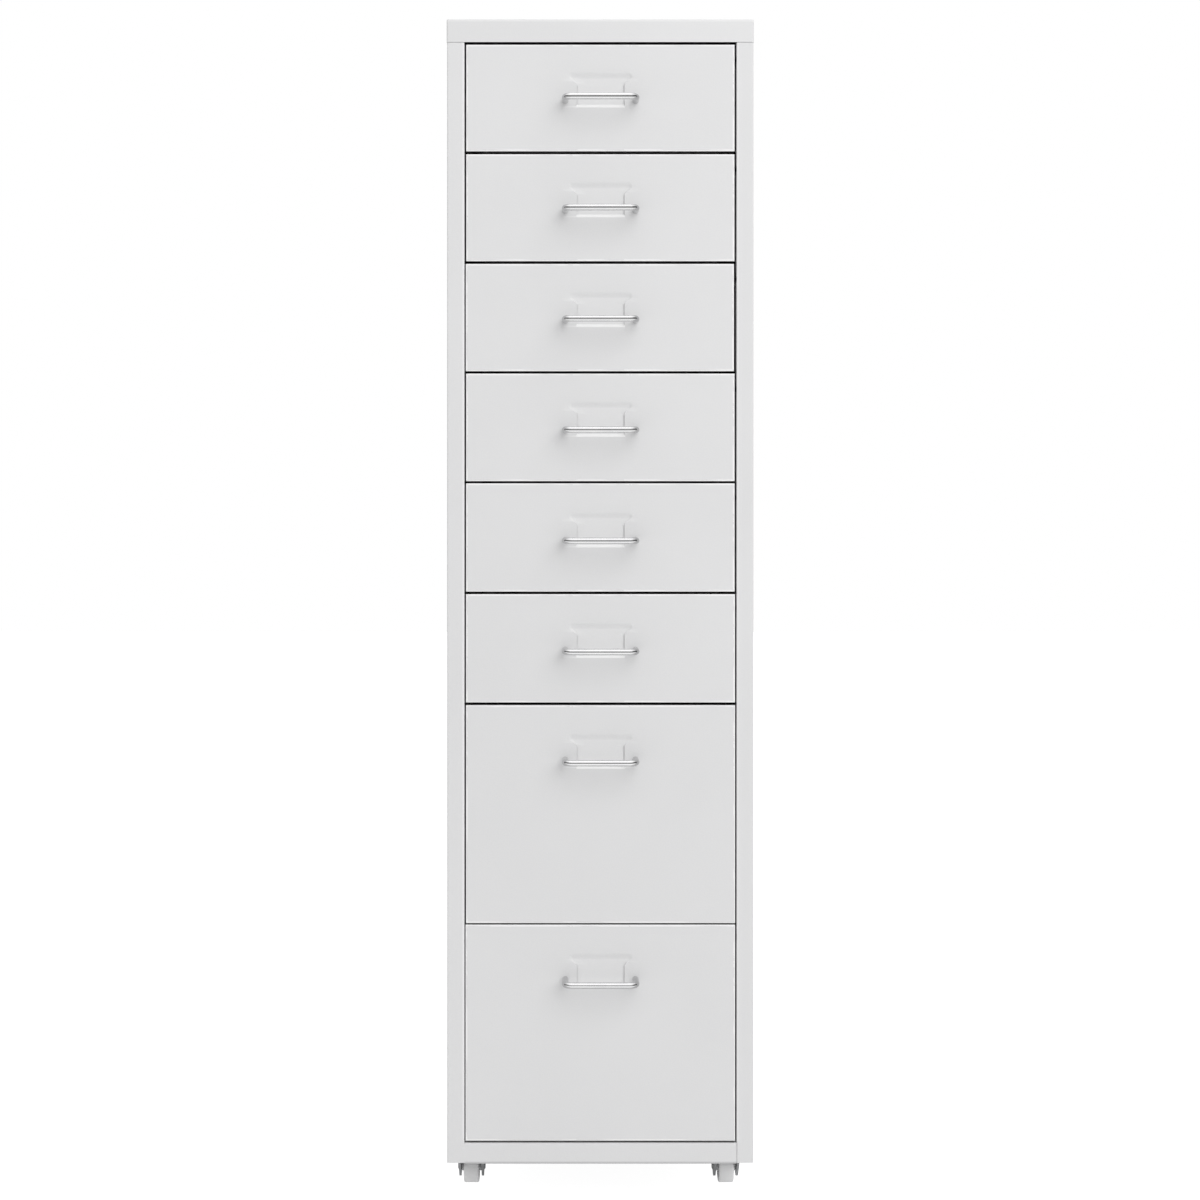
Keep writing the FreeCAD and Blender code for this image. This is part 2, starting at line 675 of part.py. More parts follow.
def handle(number, level, tall):
    """Bent wire: two legs and a bar, with a threaded hole in each leg."""
    body = new_body("drawer_%d_handle" % number)
    half = handle_pitch / 2
    path = new_sketch(body, "wire_path", "XY", 0)
    out = -handle_out
    start, stop = (-half, ZERO), (half, ZERO)
    a, b = (-half, out + handle_bend), (handle_bend - half, out)
    c, d = (half - handle_bend, out), (half, out + handle_bend)
    ca, cb = (handle_bend - half, out + handle_bend), (half - handle_bend, out + handle_bend)
    v = lambda p: V(p[0].value, p[1].value, 0)
    path.addGeometry(Part.LineSegment(v(start), v(a)), False)
    path.addGeometry(Part.ArcOfCircle(Part.Circle(v(ca), V(0, 0, 1), handle_bend.value), math.pi, 1.5 * math.pi), False)
    path.addGeometry(Part.LineSegment(v(b), v(c)), False)
    path.addGeometry(Part.ArcOfCircle(Part.Circle(v(cb), V(0, 0, 1), handle_bend.value), 1.5 * math.pi, 2 * math.pi), False)
    path.addGeometry(Part.LineSegment(v(d), v(stop)), False)
    for first, second in ((0, 1), (1, 2), (2, 3), (3, 4)):
        path.addConstraint(Sketcher.Constraint("Coincident", first, 2, second, 1))
    pin(path, "DistanceX", 0, 1, start[0]); pin(path, "DistanceY", 0, 1, start[1])
    pin(path, "DistanceX", 0, 2, a[0]); pin(path, "DistanceY", 0, 2, a[1])
    pin(path, "DistanceX", 1, 3, ca[0]); pin(path, "DistanceY", 1, 3, ca[1])
    pin(path, "DistanceX", 2, 1, b[0])
    pin(path, "DistanceX", 2, 2, c[0]); pin(path, "DistanceY", 2, 2, c[1])
    pin(path, "DistanceX", 3, 3, cb[0]); pin(path, "DistanceY", 3, 3, cb[1])
    pin(path, "DistanceY", 4, 1, d[1])
    pin(path, "DistanceX", 4, 2, stop[0]); pin(path, "DistanceY", 4, 2, stop[1])
    section = new_sketch(body, "wire_section", "XZ", 0)
    draw(section, disc(-half, 0, wire))
    pipe = body.newObject("PartDesign::AdditivePipe", "wire")
    pipe.Profile = section
    pipe.Spine = (path, [])
    doc.recompute()
    sketch = new_sketch(body, "bores_outline", "XZ", 0)
    for s in (-1, 1):
        draw(sketch, disc(s * half, 0, handle_screw))
    bore = body.newObject("PartDesign::Pocket", "bores")
    bore.Profile = sketch
    bore.Reversed = True
    set_length(bore, "Length", handle_bore)
    cuts.append(bore)
    put(body, y=front_at, z=level + tall - handle_drop)
    return done(body)


def handle_screws(number, level, tall):
    """Two pan-head machine screws from inside the front into the legs."""
    body = new_body("drawer_%d_handle_screws" % number)
    places = [(s * (handle_pitch / 2), ZERO) for s in (-1, 1)]
    seat = skin_front                                  # inner face of the front
    heads = pad(body, "heads", "XZ", [disc(x, z, handle_head) for x, z in places], seat, seat + handle_head_high)
    outer = (seat + handle_head_high).value
    rounded(body, "domes", heads, handle_head_high * 0.6,
            lambda e: near(e.BoundBox.YMin, outer) and near(e.BoundBox.YMax, outer))
    pad(body, "shanks", "XZ", [disc(x, z, handle_screw) for x, z in places], 0.8 - handle_bore + 0.7, seat + 0.5)
    cross = []
    for x, z in places:
        arm, leg = 2.1, 0.5
        cross.append(poly([(x - arm, z - leg), (x - leg, z - leg), (x - leg, z - arm), (x + leg, z - arm),
                           (x + leg, z - leg), (x + arm, z - leg), (x + arm, z + leg), (x + leg, z + leg),
                           (x + leg, z + arm), (x - leg, z + arm), (x - leg, z + leg), (x - arm, z + leg)]))
    cut(body, "recesses", "XZ", cross, seat + handle_head_high - 1.4, seat + handle_head_high + 1)
    put(body, y=front_at, z=level + tall - handle_drop)
    return done(body)


for number, level, tall in drawers:
    tray(number, level, tall)
    front(number, level, tall)
    handle(number, level, tall)
    handle_screws(number, level, tall)


# --------------------------------------------------------------------------
# casters
# --------------------------------------------------------------------------
def hexagon(x, y, flats):
    """Hexagon by its width across flats, two flats facing +Y and -Y."""
    x, y = Size.of(x), Size.of(y)
    corner = flats * (1 / math.sqrt(3))
    half = flats / 2
    return poly([(x - corner, y), (x - corner / 2, y - half), (x + corner / 2, y - half),
                 (x + corner, y), (x + corner / 2, y + half), (x - corner / 2, y + half)])


# studs: thread above the collar, king pin and its riveted head below it
stems = new_body("caster_stems")
pad(stems, "collars", "XY", [hexagon(x, y, collar_flats) for s, x, y in caster_places], race_top, floor_gap)
pad(stems, "threads", "XY", [disc(x, y, stud_dia) for s, x, y in caster_places], floor_gap - 1, stud_top)
crown_low = fork_top - fork_skin
pad(stems, "king_pins", "XY", [disc(x, y, pin_dia) for s, x, y in caster_places], crown_low - 1, race_top + 1)
rivets = pad(stems, "rivet_heads", "XY", [disc(x, y, pin_head) for s, x, y in caster_places],
             crown_low - 1.6, crown_low - 0.2)
done(stems)

# caps that hold the balls
caps = new_body("caster_race_caps")
pad(caps, "caps", "XY", [disc(x, y, race_dia) for s, x, y in caster_places], race_low, race_top)
doc.recompute()
rounded(caps, "soft_edge", caps.Tip, edge_round,
        lambda e: near(e.BoundBox.ZMin, race_top.value) and near(e.BoundBox.ZMax, race_top.value))
cut(caps, "ball_room", "XY", [disc(x, y, race_dia - 2.4) for s, x, y in caster_places], race_low - 1, race_seat)
cut(caps, "pin_holes", "XY", [disc(x, y, pin_dia) for s, x, y in caster_places], race_seat - 1, race_top + 1)
done(caps)

# one ring of balls in each caster
balls = doc.addObject("Part::Feature", "caster_balls")
balls.Label = "caster_balls"
ring = []
for s, x, y in caster_places:
    for i in range(8):
        angle = math.pi / 8 + i * math.pi / 4
        place = V(x.value + ball_ring.value * math.cos(angle), y.value + ball_ring.value * math.sin(angle),
                  race_seat.value - ball_dia.value / 2)
        ring.append(Part.makeSphere(ball_dia.value / 2, place))
balls.Shape = Part.makeCompound(ring)
balls.Placement = FreeCAD.Placement(V(0, 0, 0), FreeCAD.Rotation())
bodies.append(balls)

washer_low = base_top + skin
washers = new_body("caster_washers")
pad(washers, "rings", "XY",
    [disc(x, y, washer_dia) for s, x, y in caster_places] + [disc(x, y, stud_hole) for s, x, y in caster_places],
    washer_low, washer_low + washer_high)
done(washers)

nuts = new_body("caster_nuts")
nut_low = washer_low + washer_high
pad(nuts, "hexagons", "XY",
    [hexagon(x, y, nut_flats) for s, x, y in caster_places] + [disc(x, y, stud_dia) for s, x, y in caster_places],
    nut_low, nut_low + nut_high)
done(nuts)


def fork(name, x, y):
    """Folded fork: a crown with a race on top and two ears that slant back
    to the axle.  Local frame: swivel axis at x = y = 0."""
    body = new_body("caster_%s_fork" % name)
    sketch = new_sketch(body, "ear_outline", "YZ", -fork_out / 2)
    # crown edge, front edge, slanted edge, round end, rear edge
    lead, tail, knee = Size.of(-10), Size.of(12), Size.of(31)
    axle_z = wheel_dia / 2
    centre = (trail, axle_z)
    angle_a = math.radians(215)
    angle_b = math.radians(375)
    radius = ear_round.value
    pa = V(trail.value + radius * math.cos(angle_a), axle_z.value + radius * math.sin(angle_a), 0)
    pb = V(trail.value + radius * math.cos(angle_b), axle_z.value + radius * math.sin(angle_b), 0)
    top = fork_top.value
    sketch.addGeometry(Part.LineSegment(V(lead.value, top, 0), V(lead.value, knee.value, 0)), False)
    sketch.addGeometry(Part.LineSegment(V(lead.value, knee.value, 0), pa), False)
    sketch.addGeometry(Part.ArcOfCircle(Part.Circle(V(trail.value, axle_z.value, 0), V(0, 0, 1), radius),
                                        angle_a, angle_b), False)
    sketch.addGeometry(Part.LineSegment(pb, V(tail.value, top, 0)), False)
    sketch.addGeometry(Part.LineSegment(V(tail.value, top, 0), V(lead.value, top, 0)), False)
    sketch.addConstraint(Sketcher.Constraint("Coincident", 0, 2, 1, 1))
    sketch.addConstraint(Sketcher.Constraint("Tangent", 1, 2, 2, 1))
    sketch.addConstraint(Sketcher.Constraint("Tangent", 2, 2, 3, 1))
    sketch.addConstraint(Sketcher.Constraint("Coincident", 3, 2, 4, 1))
    sketch.addConstraint(Sketcher.Constraint("Coincident", 4, 2, 0, 1))
    pin(sketch, "DistanceX", 2, 3, trail)
    pin(sketch, "DistanceY", 2, 3, axle_z)
    number = sketch.addConstraint(Sketcher.Constraint("Radius", 2, radius))
    sketch.setExpression("Constraints[%d]" % number, ear_round.text)
    pin(sketch, "DistanceX", 0, 1, lead)
    pin(sketch, "DistanceY", 0, 1, fork_top)
    pin(sketch, "DistanceX", 0, 2, lead)
    pin(sketch, "DistanceY", 0, 2, knee)
    pin(sketch, "DistanceX", 4, 1, tail)
    pin(sketch, "DistanceY", 4, 1, fork_top)
    block = body.newObject("PartDesign::Pad", "block")
    block.Profile = sketch
    set_length(block, "Length", fork_out)
    half = fork_out.value / 2
    rounded(body, "shoulders", block, fork_skin,
            lambda e: near(e.BoundBox.ZMin, fork_top.value) and near(e.BoundBox.ZMax, fork_top.value)
            and near(abs(e.BoundBox.XMin), half) and near(e.BoundBox.XMax, e.BoundBox.XMin))
    pad(body, "crown", "XY", [disc(0, 0, crown_dia)], crown_low, fork_top)
    inner = fork_out / 2 - fork_skin
    cut(body, "wheel_room", "YZ", [rect(-20, 0, 40, crown_low)], -inner, inner)
    cut(body, "pin_hole", "XY", [disc(0, 0, pin_dia + 0.6)], crown_low - 1, fork_top + 1)
    cut(body, "axle_holes", "YZ", [disc(trail, axle_z, axle_dia)], -fork_out / 2 - 1, fork_out / 2 + 1)
    put(body, x=x, y=y)
    return done(body)


def axle(name, x, y):
    """Plain axle with a riveted head outside each ear."""
    body = new_body("caster_%s_axle" % name)
    end = fork_out / 2
    shank, head = axle_dia / 2, axle_head / 2
    turned(body, "pin", "XZ",
           [poly([(-end - axle_head_high, 0), (end + axle_head_high, 0), (end + axle_head_high, head - 1.2),
                  (end + axle_head_high - 0.7, head), (end, head), (end, shank), (-end, shank),
                  (-end, head), (0.7 - end - axle_head_high, head), (-end - axle_head_high, head - 1.2)])],
           "H_Axis")
    put(body, x=x, y=y + trail, z=wheel_dia / 2)
    return done(body)


def wheel(name, x, y):
    """Moulded wheel: rim with rounded tread edges, web and hub."""
    body = new_body("caster_%s_wheel" % name)
    r_bore, r_hub, r_in, r_out = wheel_bore / 2, hub_dia / 2, rim_in / 2, wheel_dia / 2
    w, hub, web = wheel_wide / 2, hub_wide / 2, web_wide / 2
    turned(body, "moulding", "XZ",
           [poly([(hub, r_bore), (hub, r_hub), (web, r_hub + 0.8), (web, r_in), (w, r_in + 0.6), (w, r_out),
                  (-w, r_out), (-w, r_in + 0.6), (-web, r_in), (-web, r_hub + 0.8), (-hub, r_hub), (-hub, r_bore)],
                 {5: wheel_round, 6: wheel_round})],
           "H_Axis")
    put(body, x=x, y=y + trail, z=wheel_dia / 2)
    return done(body)


for name, x, y in caster_places:
    fork(name, x, y)
    axle(name, x, y)
    wheel(name, x, y)

doc.recompute()

# --------------------------------------------------------------------------
# nothing is written unless every object is sound
# --------------------------------------------------------------------------
faults = []
for obj in doc.Objects:
    if "Invalid" in obj.State or "Error" in obj.State:
        faults.append("%s: %s" % (obj.Name, obj.State))
for feature in cuts:
    base_shape = feature.BaseFeature.Shape if feature.BaseFeature else None
    if base_shape is None or feature.Shape.Volume >= base_shape.Volume - 0.01:
        faults.append("%s cuts nothing" % feature.Name)
for body in bodies:
    if body.Shape.isNull() or not body.Shape.isValid():
        faults.append("%s: bad shape" % body.Label)
if faults:
    raise RuntimeError("\n".join(faults))

os.makedirs("parts", exist_ok=True)
for body in bodies:
    body.Shape.exportStep("parts/%s.step" % body.Label)
    print("%-28s %2d solids %10.1f mm3" % (body.Label, len(body.Shape.Solids), body.Shape.Volume))
low = V(1e9, 1e9, 1e9)
box = FreeCAD.BoundBox()
for body in bodies:
    box.add(body.Shape.BoundBox)
print("box x %.2f %.2f  y %.2f %.2f  z %.2f %.2f" % (box.XMin, box.XMax, box.YMin, box.YMax, box.ZMin, box.ZMax))
print(len(bodies), "nodes")
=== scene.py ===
"""Mobile filing cabinet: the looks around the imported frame.

Metres, +Z up, drawers facing -Y.  Lengths in the tables below are in
millimetres and are turned into metres as each mesh is made.
"""
import json
import math

import bmesh
import bpy
from mathutils import Matrix, Vector


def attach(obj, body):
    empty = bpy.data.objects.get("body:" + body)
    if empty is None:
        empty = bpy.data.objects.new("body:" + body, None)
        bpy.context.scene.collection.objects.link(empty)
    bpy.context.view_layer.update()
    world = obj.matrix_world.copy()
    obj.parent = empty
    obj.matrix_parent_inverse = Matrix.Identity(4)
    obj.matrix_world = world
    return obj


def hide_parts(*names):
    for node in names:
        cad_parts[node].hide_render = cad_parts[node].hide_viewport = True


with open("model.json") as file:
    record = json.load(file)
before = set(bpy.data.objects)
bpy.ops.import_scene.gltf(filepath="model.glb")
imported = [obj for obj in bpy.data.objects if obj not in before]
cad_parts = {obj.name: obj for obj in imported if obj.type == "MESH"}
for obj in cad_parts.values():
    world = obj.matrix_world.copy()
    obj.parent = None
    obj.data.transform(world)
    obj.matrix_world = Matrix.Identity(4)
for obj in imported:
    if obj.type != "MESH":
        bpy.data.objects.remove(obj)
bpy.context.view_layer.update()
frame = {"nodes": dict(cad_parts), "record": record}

scene = bpy.context.scene

# --------------------------------------------------------------------------
# sizes of the frame, in millimetres
# --------------------------------------------------------------------------
FRONT = -180.0                  # front plane
BACK = 203.0                    # back lip of the cover
TOP = 1090.0
FLOOR_GAP = 47.0
PITCH = {n: (100.0 if n <= 6 else 200.0) for n in range(1, 9)}
LEVEL = {}
_z = 1068.0
for _n in range(1, 9):
    _z -= PITCH[_n]
    LEVEL[_n] = _z
POSTS = (123.8, 124.2)          # inner edges of the left and right post
# how the fronts hang: each gap's width and how much lower than nominal it lies, and each
# front's left and right half width
LINES = {1068: (2.5, 0.15), 968: (2.8, -0.2), 868: (2.5, -0.2), 768: (2.2, -0.1), 668: (2.0, 0.0), 568: (2.3, 0.8),
         468: (2.5, 1.9), 268: (1.5, 2.4), 68: (2.0, 0.9)}
SIDES = {1: (122.2, 122.3), 2: (122.2, 122.2), 3: (122.6, 121.75), 4: (122.3, 122.3), 5: (122.35, 122.35),
         6: (122.4, 122.7), 7: (122.4, 122.8), 8: (122.8, 122.8)}
POCKETS = {1: 0.0, 2: 0.0, 3: 0.0, 4: 0.0, 5: 0.7, 6: 1.4, 7: 2.4, 8: 2.4}


# --------------------------------------------------------------------------
# camera, light and floor
# --------------------------------------------------------------------------
BAND = (0.16, 0.34, 0.9)        # dark band: sine of its half height, soft end, depth
SKY = (0.475, 0.84)              # light of the room and of the ceiling
SHINE = 1.75                    # how much brighter bright metal sees the room
SOFT = 0.8                      # how little of the band reaches matt surfaces
GLOW = (0.45, 0.51, 0.45)       # the floor's own light, what the camera sees more of it, and bright metal


def make_camera():
    data = bpy.data.cameras.new("camera")
    data.sensor_width = 36.0
    data.sensor_fit = "HORIZONTAL"
    data.lens = 57.448
    data.shift_x = 0.0272
    data.shift_y = -0.033
    data.clip_start = 0.05
    data.clip_end = 60.0
    cam = bpy.data.objects.new("camera", data)
    cam.location = (-0.03, FRONT / 1000 - 1.744, 0.5968)
    cam.rotation_euler = (math.pi / 2, 0, 0)
    scene.collection.objects.link(cam)
    scene.camera = cam


def area(name, place, aim, size, power, colour=(1, 1, 1)):
    data = bpy.data.lights.new(name, "AREA")
    data.shape = "RECTANGLE"
    data.size, data.size_y = size
    data.energy = power
    data.color = colour
    lamp = bpy.data.objects.new(name, data)
    lamp.location = place
    lamp.rotation_euler = (Vector(aim) - Vector(place)).to_track_quat("-Z", "Y").to_euler()
    scene.collection.objects.link(lamp)
    return lamp


def make_world():
    """Soft white studio: a bright ceiling, a plain room, and a dark band at
    eye height in front of the object, which bright metal mirrors as a thin
    line.  Seen directly, the room is white."""
    world = bpy.data.worlds.new("studio")
    world.use_nodes = True
    tree = world.node_tree
    tree.nodes.clear()

    def node(kind, **settings):
        made = tree.nodes.new(kind)
        for key, value in settings.items():
            setattr(made, key, value)
        return made

    def ramp(value, a, b, low, high):
        made = node("ShaderNodeMapRange", interpolation_type="SMOOTHSTEP")
        for key, number in (("From Min", a), ("From Max", b), ("To Min", low), ("To Max", high)):
            made.inputs[key].default_value = number
        tree.links.new(value, made.inputs["Value"])
        return made.outputs["Result"]

    def maths(kind, a, b):
        made = node("ShaderNodeMath", operation=kind)
        for socket, value in zip(made.inputs, (a, b)):
            if isinstance(value, float):
                socket.default_value = value
            else:
                tree.links.new(value, socket)
        return made.outputs[0]

    where = node("ShaderNodeTexCoord")
    parts = node("ShaderNodeSeparateXYZ")
    tree.links.new(where.outputs["Generated"], parts.inputs[0])
    height = parts.outputs["Z"]
    ahead = maths("MULTIPLY", parts.outputs["Y"], -1.0)
    level = maths("ABSOLUTE", height, 0.0)
    band = maths("MULTIPLY", ramp(level, BAND[0], BAND[1], BAND[2], 0.0), ramp(ahead, -0.5, -0.1, 0.0, 1.0))
    for toward, depth in ((1.0, 0.85), (-1.0, 0.6)):         # dark walls beyond the two sides
        wall = ramp(maths("MULTIPLY", parts.outputs["X"], toward), 0.45, 0.8, 0.0, depth)
        band = maths("MAXIMUM", band, maths("MULTIPLY", wall, ramp(level, 0.35, 0.75, 1.0, 0.0)))
    sky = ramp(height, 0.2, 0.9, SKY[0], SKY[1])
    rays = node("ShaderNodeLightPath")
    mirrored = maths("SUBTRACT", 1.0, maths("MULTIPLY", rays.outputs["Is Diffuse Ray"], SOFT))
    light = maths("MULTIPLY", sky, maths("SUBTRACT", 1.0, maths("MULTIPLY", band, mirrored)))
    gain = maths("MAXIMUM", maths("MULTIPLY", rays.outputs["Is Glossy Ray"], SHINE), 1.0)
    light = maths("MULTIPLY", light, gain)
    seen = node("ShaderNodeMix")
    tree.links.new(rays.outputs["Is Camera Ray"], seen.inputs[0])
    tree.links.new(light, seen.inputs[2])
    seen.inputs[3].default_value = 1.0
    back = node("ShaderNodeBackground")
    back.inputs["Color"].default_value = (1.0, 1.0, 1.0, 1.0)
    tree.links.new(seen.outputs[0], back.inputs["Strength"])
    out = node("ShaderNodeOutputWorld")
    tree.links.new(back.outputs[0], out.inputs[0])
    scene.world = world


def make_floor():
    """Pale floor, lit a little from below as on a light table, so that it
    stays near white around the object."""
    mesh = bpy.data.meshes.new("studio_floor")
    half = 14.0
    mesh.from_pydata([(-half, -half, 0), (half, -half, 0), (half, half, 0), (-half, half, 0)], [], [(0, 1, 2, 3)])
    floor = bpy.data.objects.new("studio_floor", mesh)
    scene.collection.objects.link(floor)
    mat = bpy.data.materials.new("studio_floor")
    mat.use_nodes = True
    tree = mat.node_tree
    bsdf = tree.nodes["Principled BSDF"]
    bsdf.inputs["Base Color"].default_value = (0.42, 0.42, 0.42, 1)
    bsdf.inputs["Roughness"].default_value = 0.8
    bsdf.inputs["Emission Color"].default_value = (1, 1, 1, 1)
    rays = tree.nodes.new("ShaderNodeLightPath")
    where = tree.nodes.new("ShaderNodeTexCoord")
    parts = tree.nodes.new("ShaderNodeSeparateXYZ")
    tree.links.new(where.outputs["Object"], parts.inputs[0])

    def ramp(a, b):
        made = tree.nodes.new("ShaderNodeMapRange")
        for key, number in (("From Min", a), ("From Max", b), ("To Min", 0.0), ("To Max", 1.0)):
            made.inputs[key].default_value = number
        tree.links.new(parts.outputs["Y"], made.inputs["Value"])
        return made.outputs["Result"]

    def more(value, factor, base):
        made = tree.nodes.new("ShaderNodeMath")
        made.operation = "MULTIPLY_ADD"
        for socket, item in zip(made.inputs, (value, factor, base)):
            if isinstance(item, float):
                socket.default_value = item
            else:
                tree.links.new(item, socket)
        return made.outputs[0]

    # bright metal mirrors a light strip of floor right in front of the object and a dark floor beyond
    metal = more(ramp(-0.25, -0.5), GLOW[2] + 0.25, -0.25)
    metal = more(ramp(-0.85, -1.5), -GLOW[2] - 0.4, metal)
    lit = more(rays.outputs["Is Camera Ray"], GLOW[1], GLOW[0])
    lit = more(rays.outputs["Is Glossy Ray"], metal, lit)
    tree.links.new(lit, bsdf.inputs["Emission Strength"])
    mesh.materials.append(mat)


# --------------------------------------------------------------------------
# materials
# --------------------------------------------------------------------------
class Mat:
    """A node material with short ways to add nodes."""

    def __init__(self, name):
        self.mat = bpy.data.materials.new(name)
        self.mat.use_nodes = True
        self.tree = self.mat.node_tree
        self.bsdf = self.tree.nodes["Principled BSDF"]

    def node(self, kind, **inputs):
        node = self.tree.nodes.new(kind)
        for key, value in inputs.items():
            if hasattr(node, key) and key not in node.inputs:
                setattr(node, key, value)
            else:
                node.inputs[key].default_value = value
        return node

    def link(self, a, b):
        self.tree.links.new(a, b)

    def set(self, **values):
        for key, value in values.items():
            self.bsdf.inputs[key.replace("_", " ")].default_value = value

    def coords(self, scale=(1, 1, 1)):
        where = self.tree.nodes.new("ShaderNodeTexCoord")
        mapping = self.tree.nodes.new("ShaderNodeMapping")
        mapping.inputs["Scale"].default_value = scale
        self.link(where.outputs["Object"], mapping.inputs["Vector"])
        return mapping.outputs["Vector"]

    def noise(self, vector, scale, detail=2.0, rough=0.5):
        node = self.tree.nodes.new("ShaderNodeTexNoise")
        node.inputs["Scale"].default_value = scale
        node.inputs["Detail"].default_value = detail
        node.inputs["Roughness"].default_value = rough
        self.link(vector, node.inputs["Vector"])
        return node.outputs["Fac"]

    def span(self, value, a, b, low, high):
        node = self.tree.nodes.new("ShaderNodeMapRange")
        for key, number in (("From Min", a), ("From Max", b), ("To Min", low), ("To Max", high)):
            node.inputs[key].default_value = number
        self.link(value, node.inputs["Value"])
        return node.outputs["Result"]

    def mix(self, factor, a, b):
        node = self.tree.nodes.new("ShaderNodeMix")
        node.data_type = "RGBA"
        for socket, value in ((node.inputs[0], factor), (node.inputs[6], a), (node.inputs[7], b)):
            if isinstance(value, (tuple, float, int)):
                socket.default_value = value if not isinstance(value, tuple) else (*value, 1.0)[:4]
            else:
                self.link(value, socket)
        return node.outputs[2]

    def bump(self, height, strength, distance, before=None):
        node = self.tree.nodes.new("ShaderNodeBump")
        node.inputs["Strength"].default_value = strength
        node.inputs["Distance"].default_value = distance
        self.link(height, node.inputs["Height"])
        if before is not None:
            self.link(before, node.inputs["Normal"])
        return node.outputs["Normal"]


def powder_coat(name, colour, lighter, darker):
    """Satin powder coat: faint cloudiness and fine orange peel. The mark
    attribute read below paints light and shade: above zero a painted
    highlight on folded and rounded edges, where the coat also runs a
    little thin; below zero painted shade in the gaps under the fronts
    and along the plinth's foot."""
    m = Mat(name)
    at = m.coords()
    cloud = m.noise(at, 9.0, 3.0)
    grain = m.noise(at, 900.0, 2.0)
    peel = m.noise(at, 420.0, 3.0, 0.55)
    base = m.mix(m.span(cloud, 0.3, 0.7, 0.0, 1.0), darker, colour)
    base = m.mix(m.span(grain, 0.35, 0.75, 0.0, 0.35), base, lighter)
    painted_shading = m.tree.nodes.new("ShaderNodeAttribute")
    painted_shading.attribute_name = "painted_shading"
    # painted highlight: folded and rounded edges lightened where the mark is above zero
    edge = m.mix(m.span(painted_shading.outputs["Fac"], 0.0, 1.0, 0.0, 1.0), base, tuple(min(1.0, c * 1.16) for c in lighter))
    # painted shade: gaps under the fronts and the plinth's foot darkened where the mark is below zero
    edge = m.mix(m.span(painted_shading.outputs["Fac"], -1.0, 0.0, 1.0, 0.0), edge, tuple(c * 0.22 for c in colour))
    m.link(edge, m.bsdf.inputs["Base Color"])
    m.link(m.span(cloud, 0.2, 0.8, 0.44, 0.50), m.bsdf.inputs["Roughness"])
    first = m.bump(peel, 0.10, 0.0004)
    m.link(m.bump(grain, 0.06, 0.0002, first), m.bsdf.inputs["Normal"])
    m.set(Specular_IOR_Level=0.35)
    return m.mat


def chrome(name):
    """Bright plated wire with faint polishing lines. The "bend" attribute
    paints shade and dark reflection into the bends and legs, heavier on
    the right."""
    m = Mat(name)
    lines = m.noise(m.coords((900, 900, 900)), 1.0, 4.0, 0.6)
    haze = m.noise(m.coords(), 60.0, 3.0)
    bright = m.mix(m.span(haze, 0.3, 0.7, 0.0, 1.0), (0.70, 0.70, 0.71), (0.76, 0.76, 0.76))
    # painted shade and dark reflection for the bends and legs
    painted_shade_chrome = m.mix(m.span(haze, 0.3, 0.7, 0.0, 1.0), (0.46, 0.46, 0.47), (0.54, 0.54, 0.54))
    bend = m.tree.nodes.new("ShaderNodeAttribute")
    bend.attribute_name = "bend"
    m.link(m.mix(m.span(bend.outputs["Fac"], 0.0, 1.0, 0.0, 1.0), bright, painted_shade_chrome), m.bsdf.inputs["Base Color"])
    m.link(m.span(haze, 0.25, 0.75, 0.13, 0.19), m.bsdf.inputs["Roughness"])
    m.link(m.bump(lines, 0.05, 0.0001), m.bsdf.inputs["Normal"])
    m.set(Metallic=1.0)
    return m.mat


def zinc(name, colour=(0.56, 0.57, 0.58), rough=(0.28, 0.42)):
    """Bright zinc: mottled crystals over drawn steel."""
    m = Mat(name)
    at = m.coords()
    mottle = m.noise(at, 330.0, 4.0, 0.6)
    patch = m.noise(at, 45.0, 2.0)
    dark = tuple(c * 0.82 for c in colour)
    m.link(m.mix(m.span(mottle, 0.3, 0.7, 0.0, 1.0), dark, colour), m.bsdf.inputs["Base Color"])
    m.link(m.span(patch, 0.3, 0.7, *rough), m.bsdf.inputs["Roughness"])
    m.link(m.bump(mottle, 0.12, 0.0002), m.bsdf.inputs["Normal"])
    m.set(Metallic=1.0)
    return m.mat


def wheel_plastic(name):
    """Light grey moulded plastic: fine spark-eroded grain and a faint
    rubbed band where the tread rolls (the "tread" attribute)."""
    m = Mat(name)
    at = m.coords()
    grain = m.noise(at, 1400.0, 3.0, 0.6)
    cloud = m.noise(at, 70.0, 3.0)
    base = m.mix(m.span(cloud, 0.3, 0.7, 0.0, 1.0), (0.90, 0.90, 0.905), (0.93, 0.93, 0.935))
    tread = m.tree.nodes.new("ShaderNodeAttribute")
    tread.attribute_name = "tread"
    dusty = m.mix(m.span(tread.outputs["Fac"], 0.0, 1.0, 0.0, 0.4), base, (0.78, 0.78, 0.78))
    m.link(dusty, m.bsdf.inputs["Base Color"])
    m.link(m.span(cloud, 0.3, 0.7, 0.46, 0.58), m.bsdf.inputs["Roughness"])
    m.link(m.bump(grain, 0.10, 0.0002), m.bsdf.inputs["Normal"])
    return m.mat


MATS = {
    "carcass_paint": powder_coat("carcass_paint", (0.745, 0.745, 0.75), (0.80, 0.80, 0.80), (0.725, 0.725, 0.73)),
    "drawer_paint": powder_coat("drawer_paint", (0.745, 0.745, 0.75), (0.80, 0.80, 0.80), (0.725, 0.725, 0.73)),
    "handle_chrome": chrome("handle_chrome"),
    "zinc_steel": zinc("zinc_steel"),
    "polished_steel": zinc("polished_steel", (0.62, 0.62, 0.63), (0.10, 0.18)),
    "wheel_plastic": wheel_plastic("wheel_plastic"),
}
SLOT = {s["node"]: s["material_slot"] for s in frame["record"]["subparts"]}


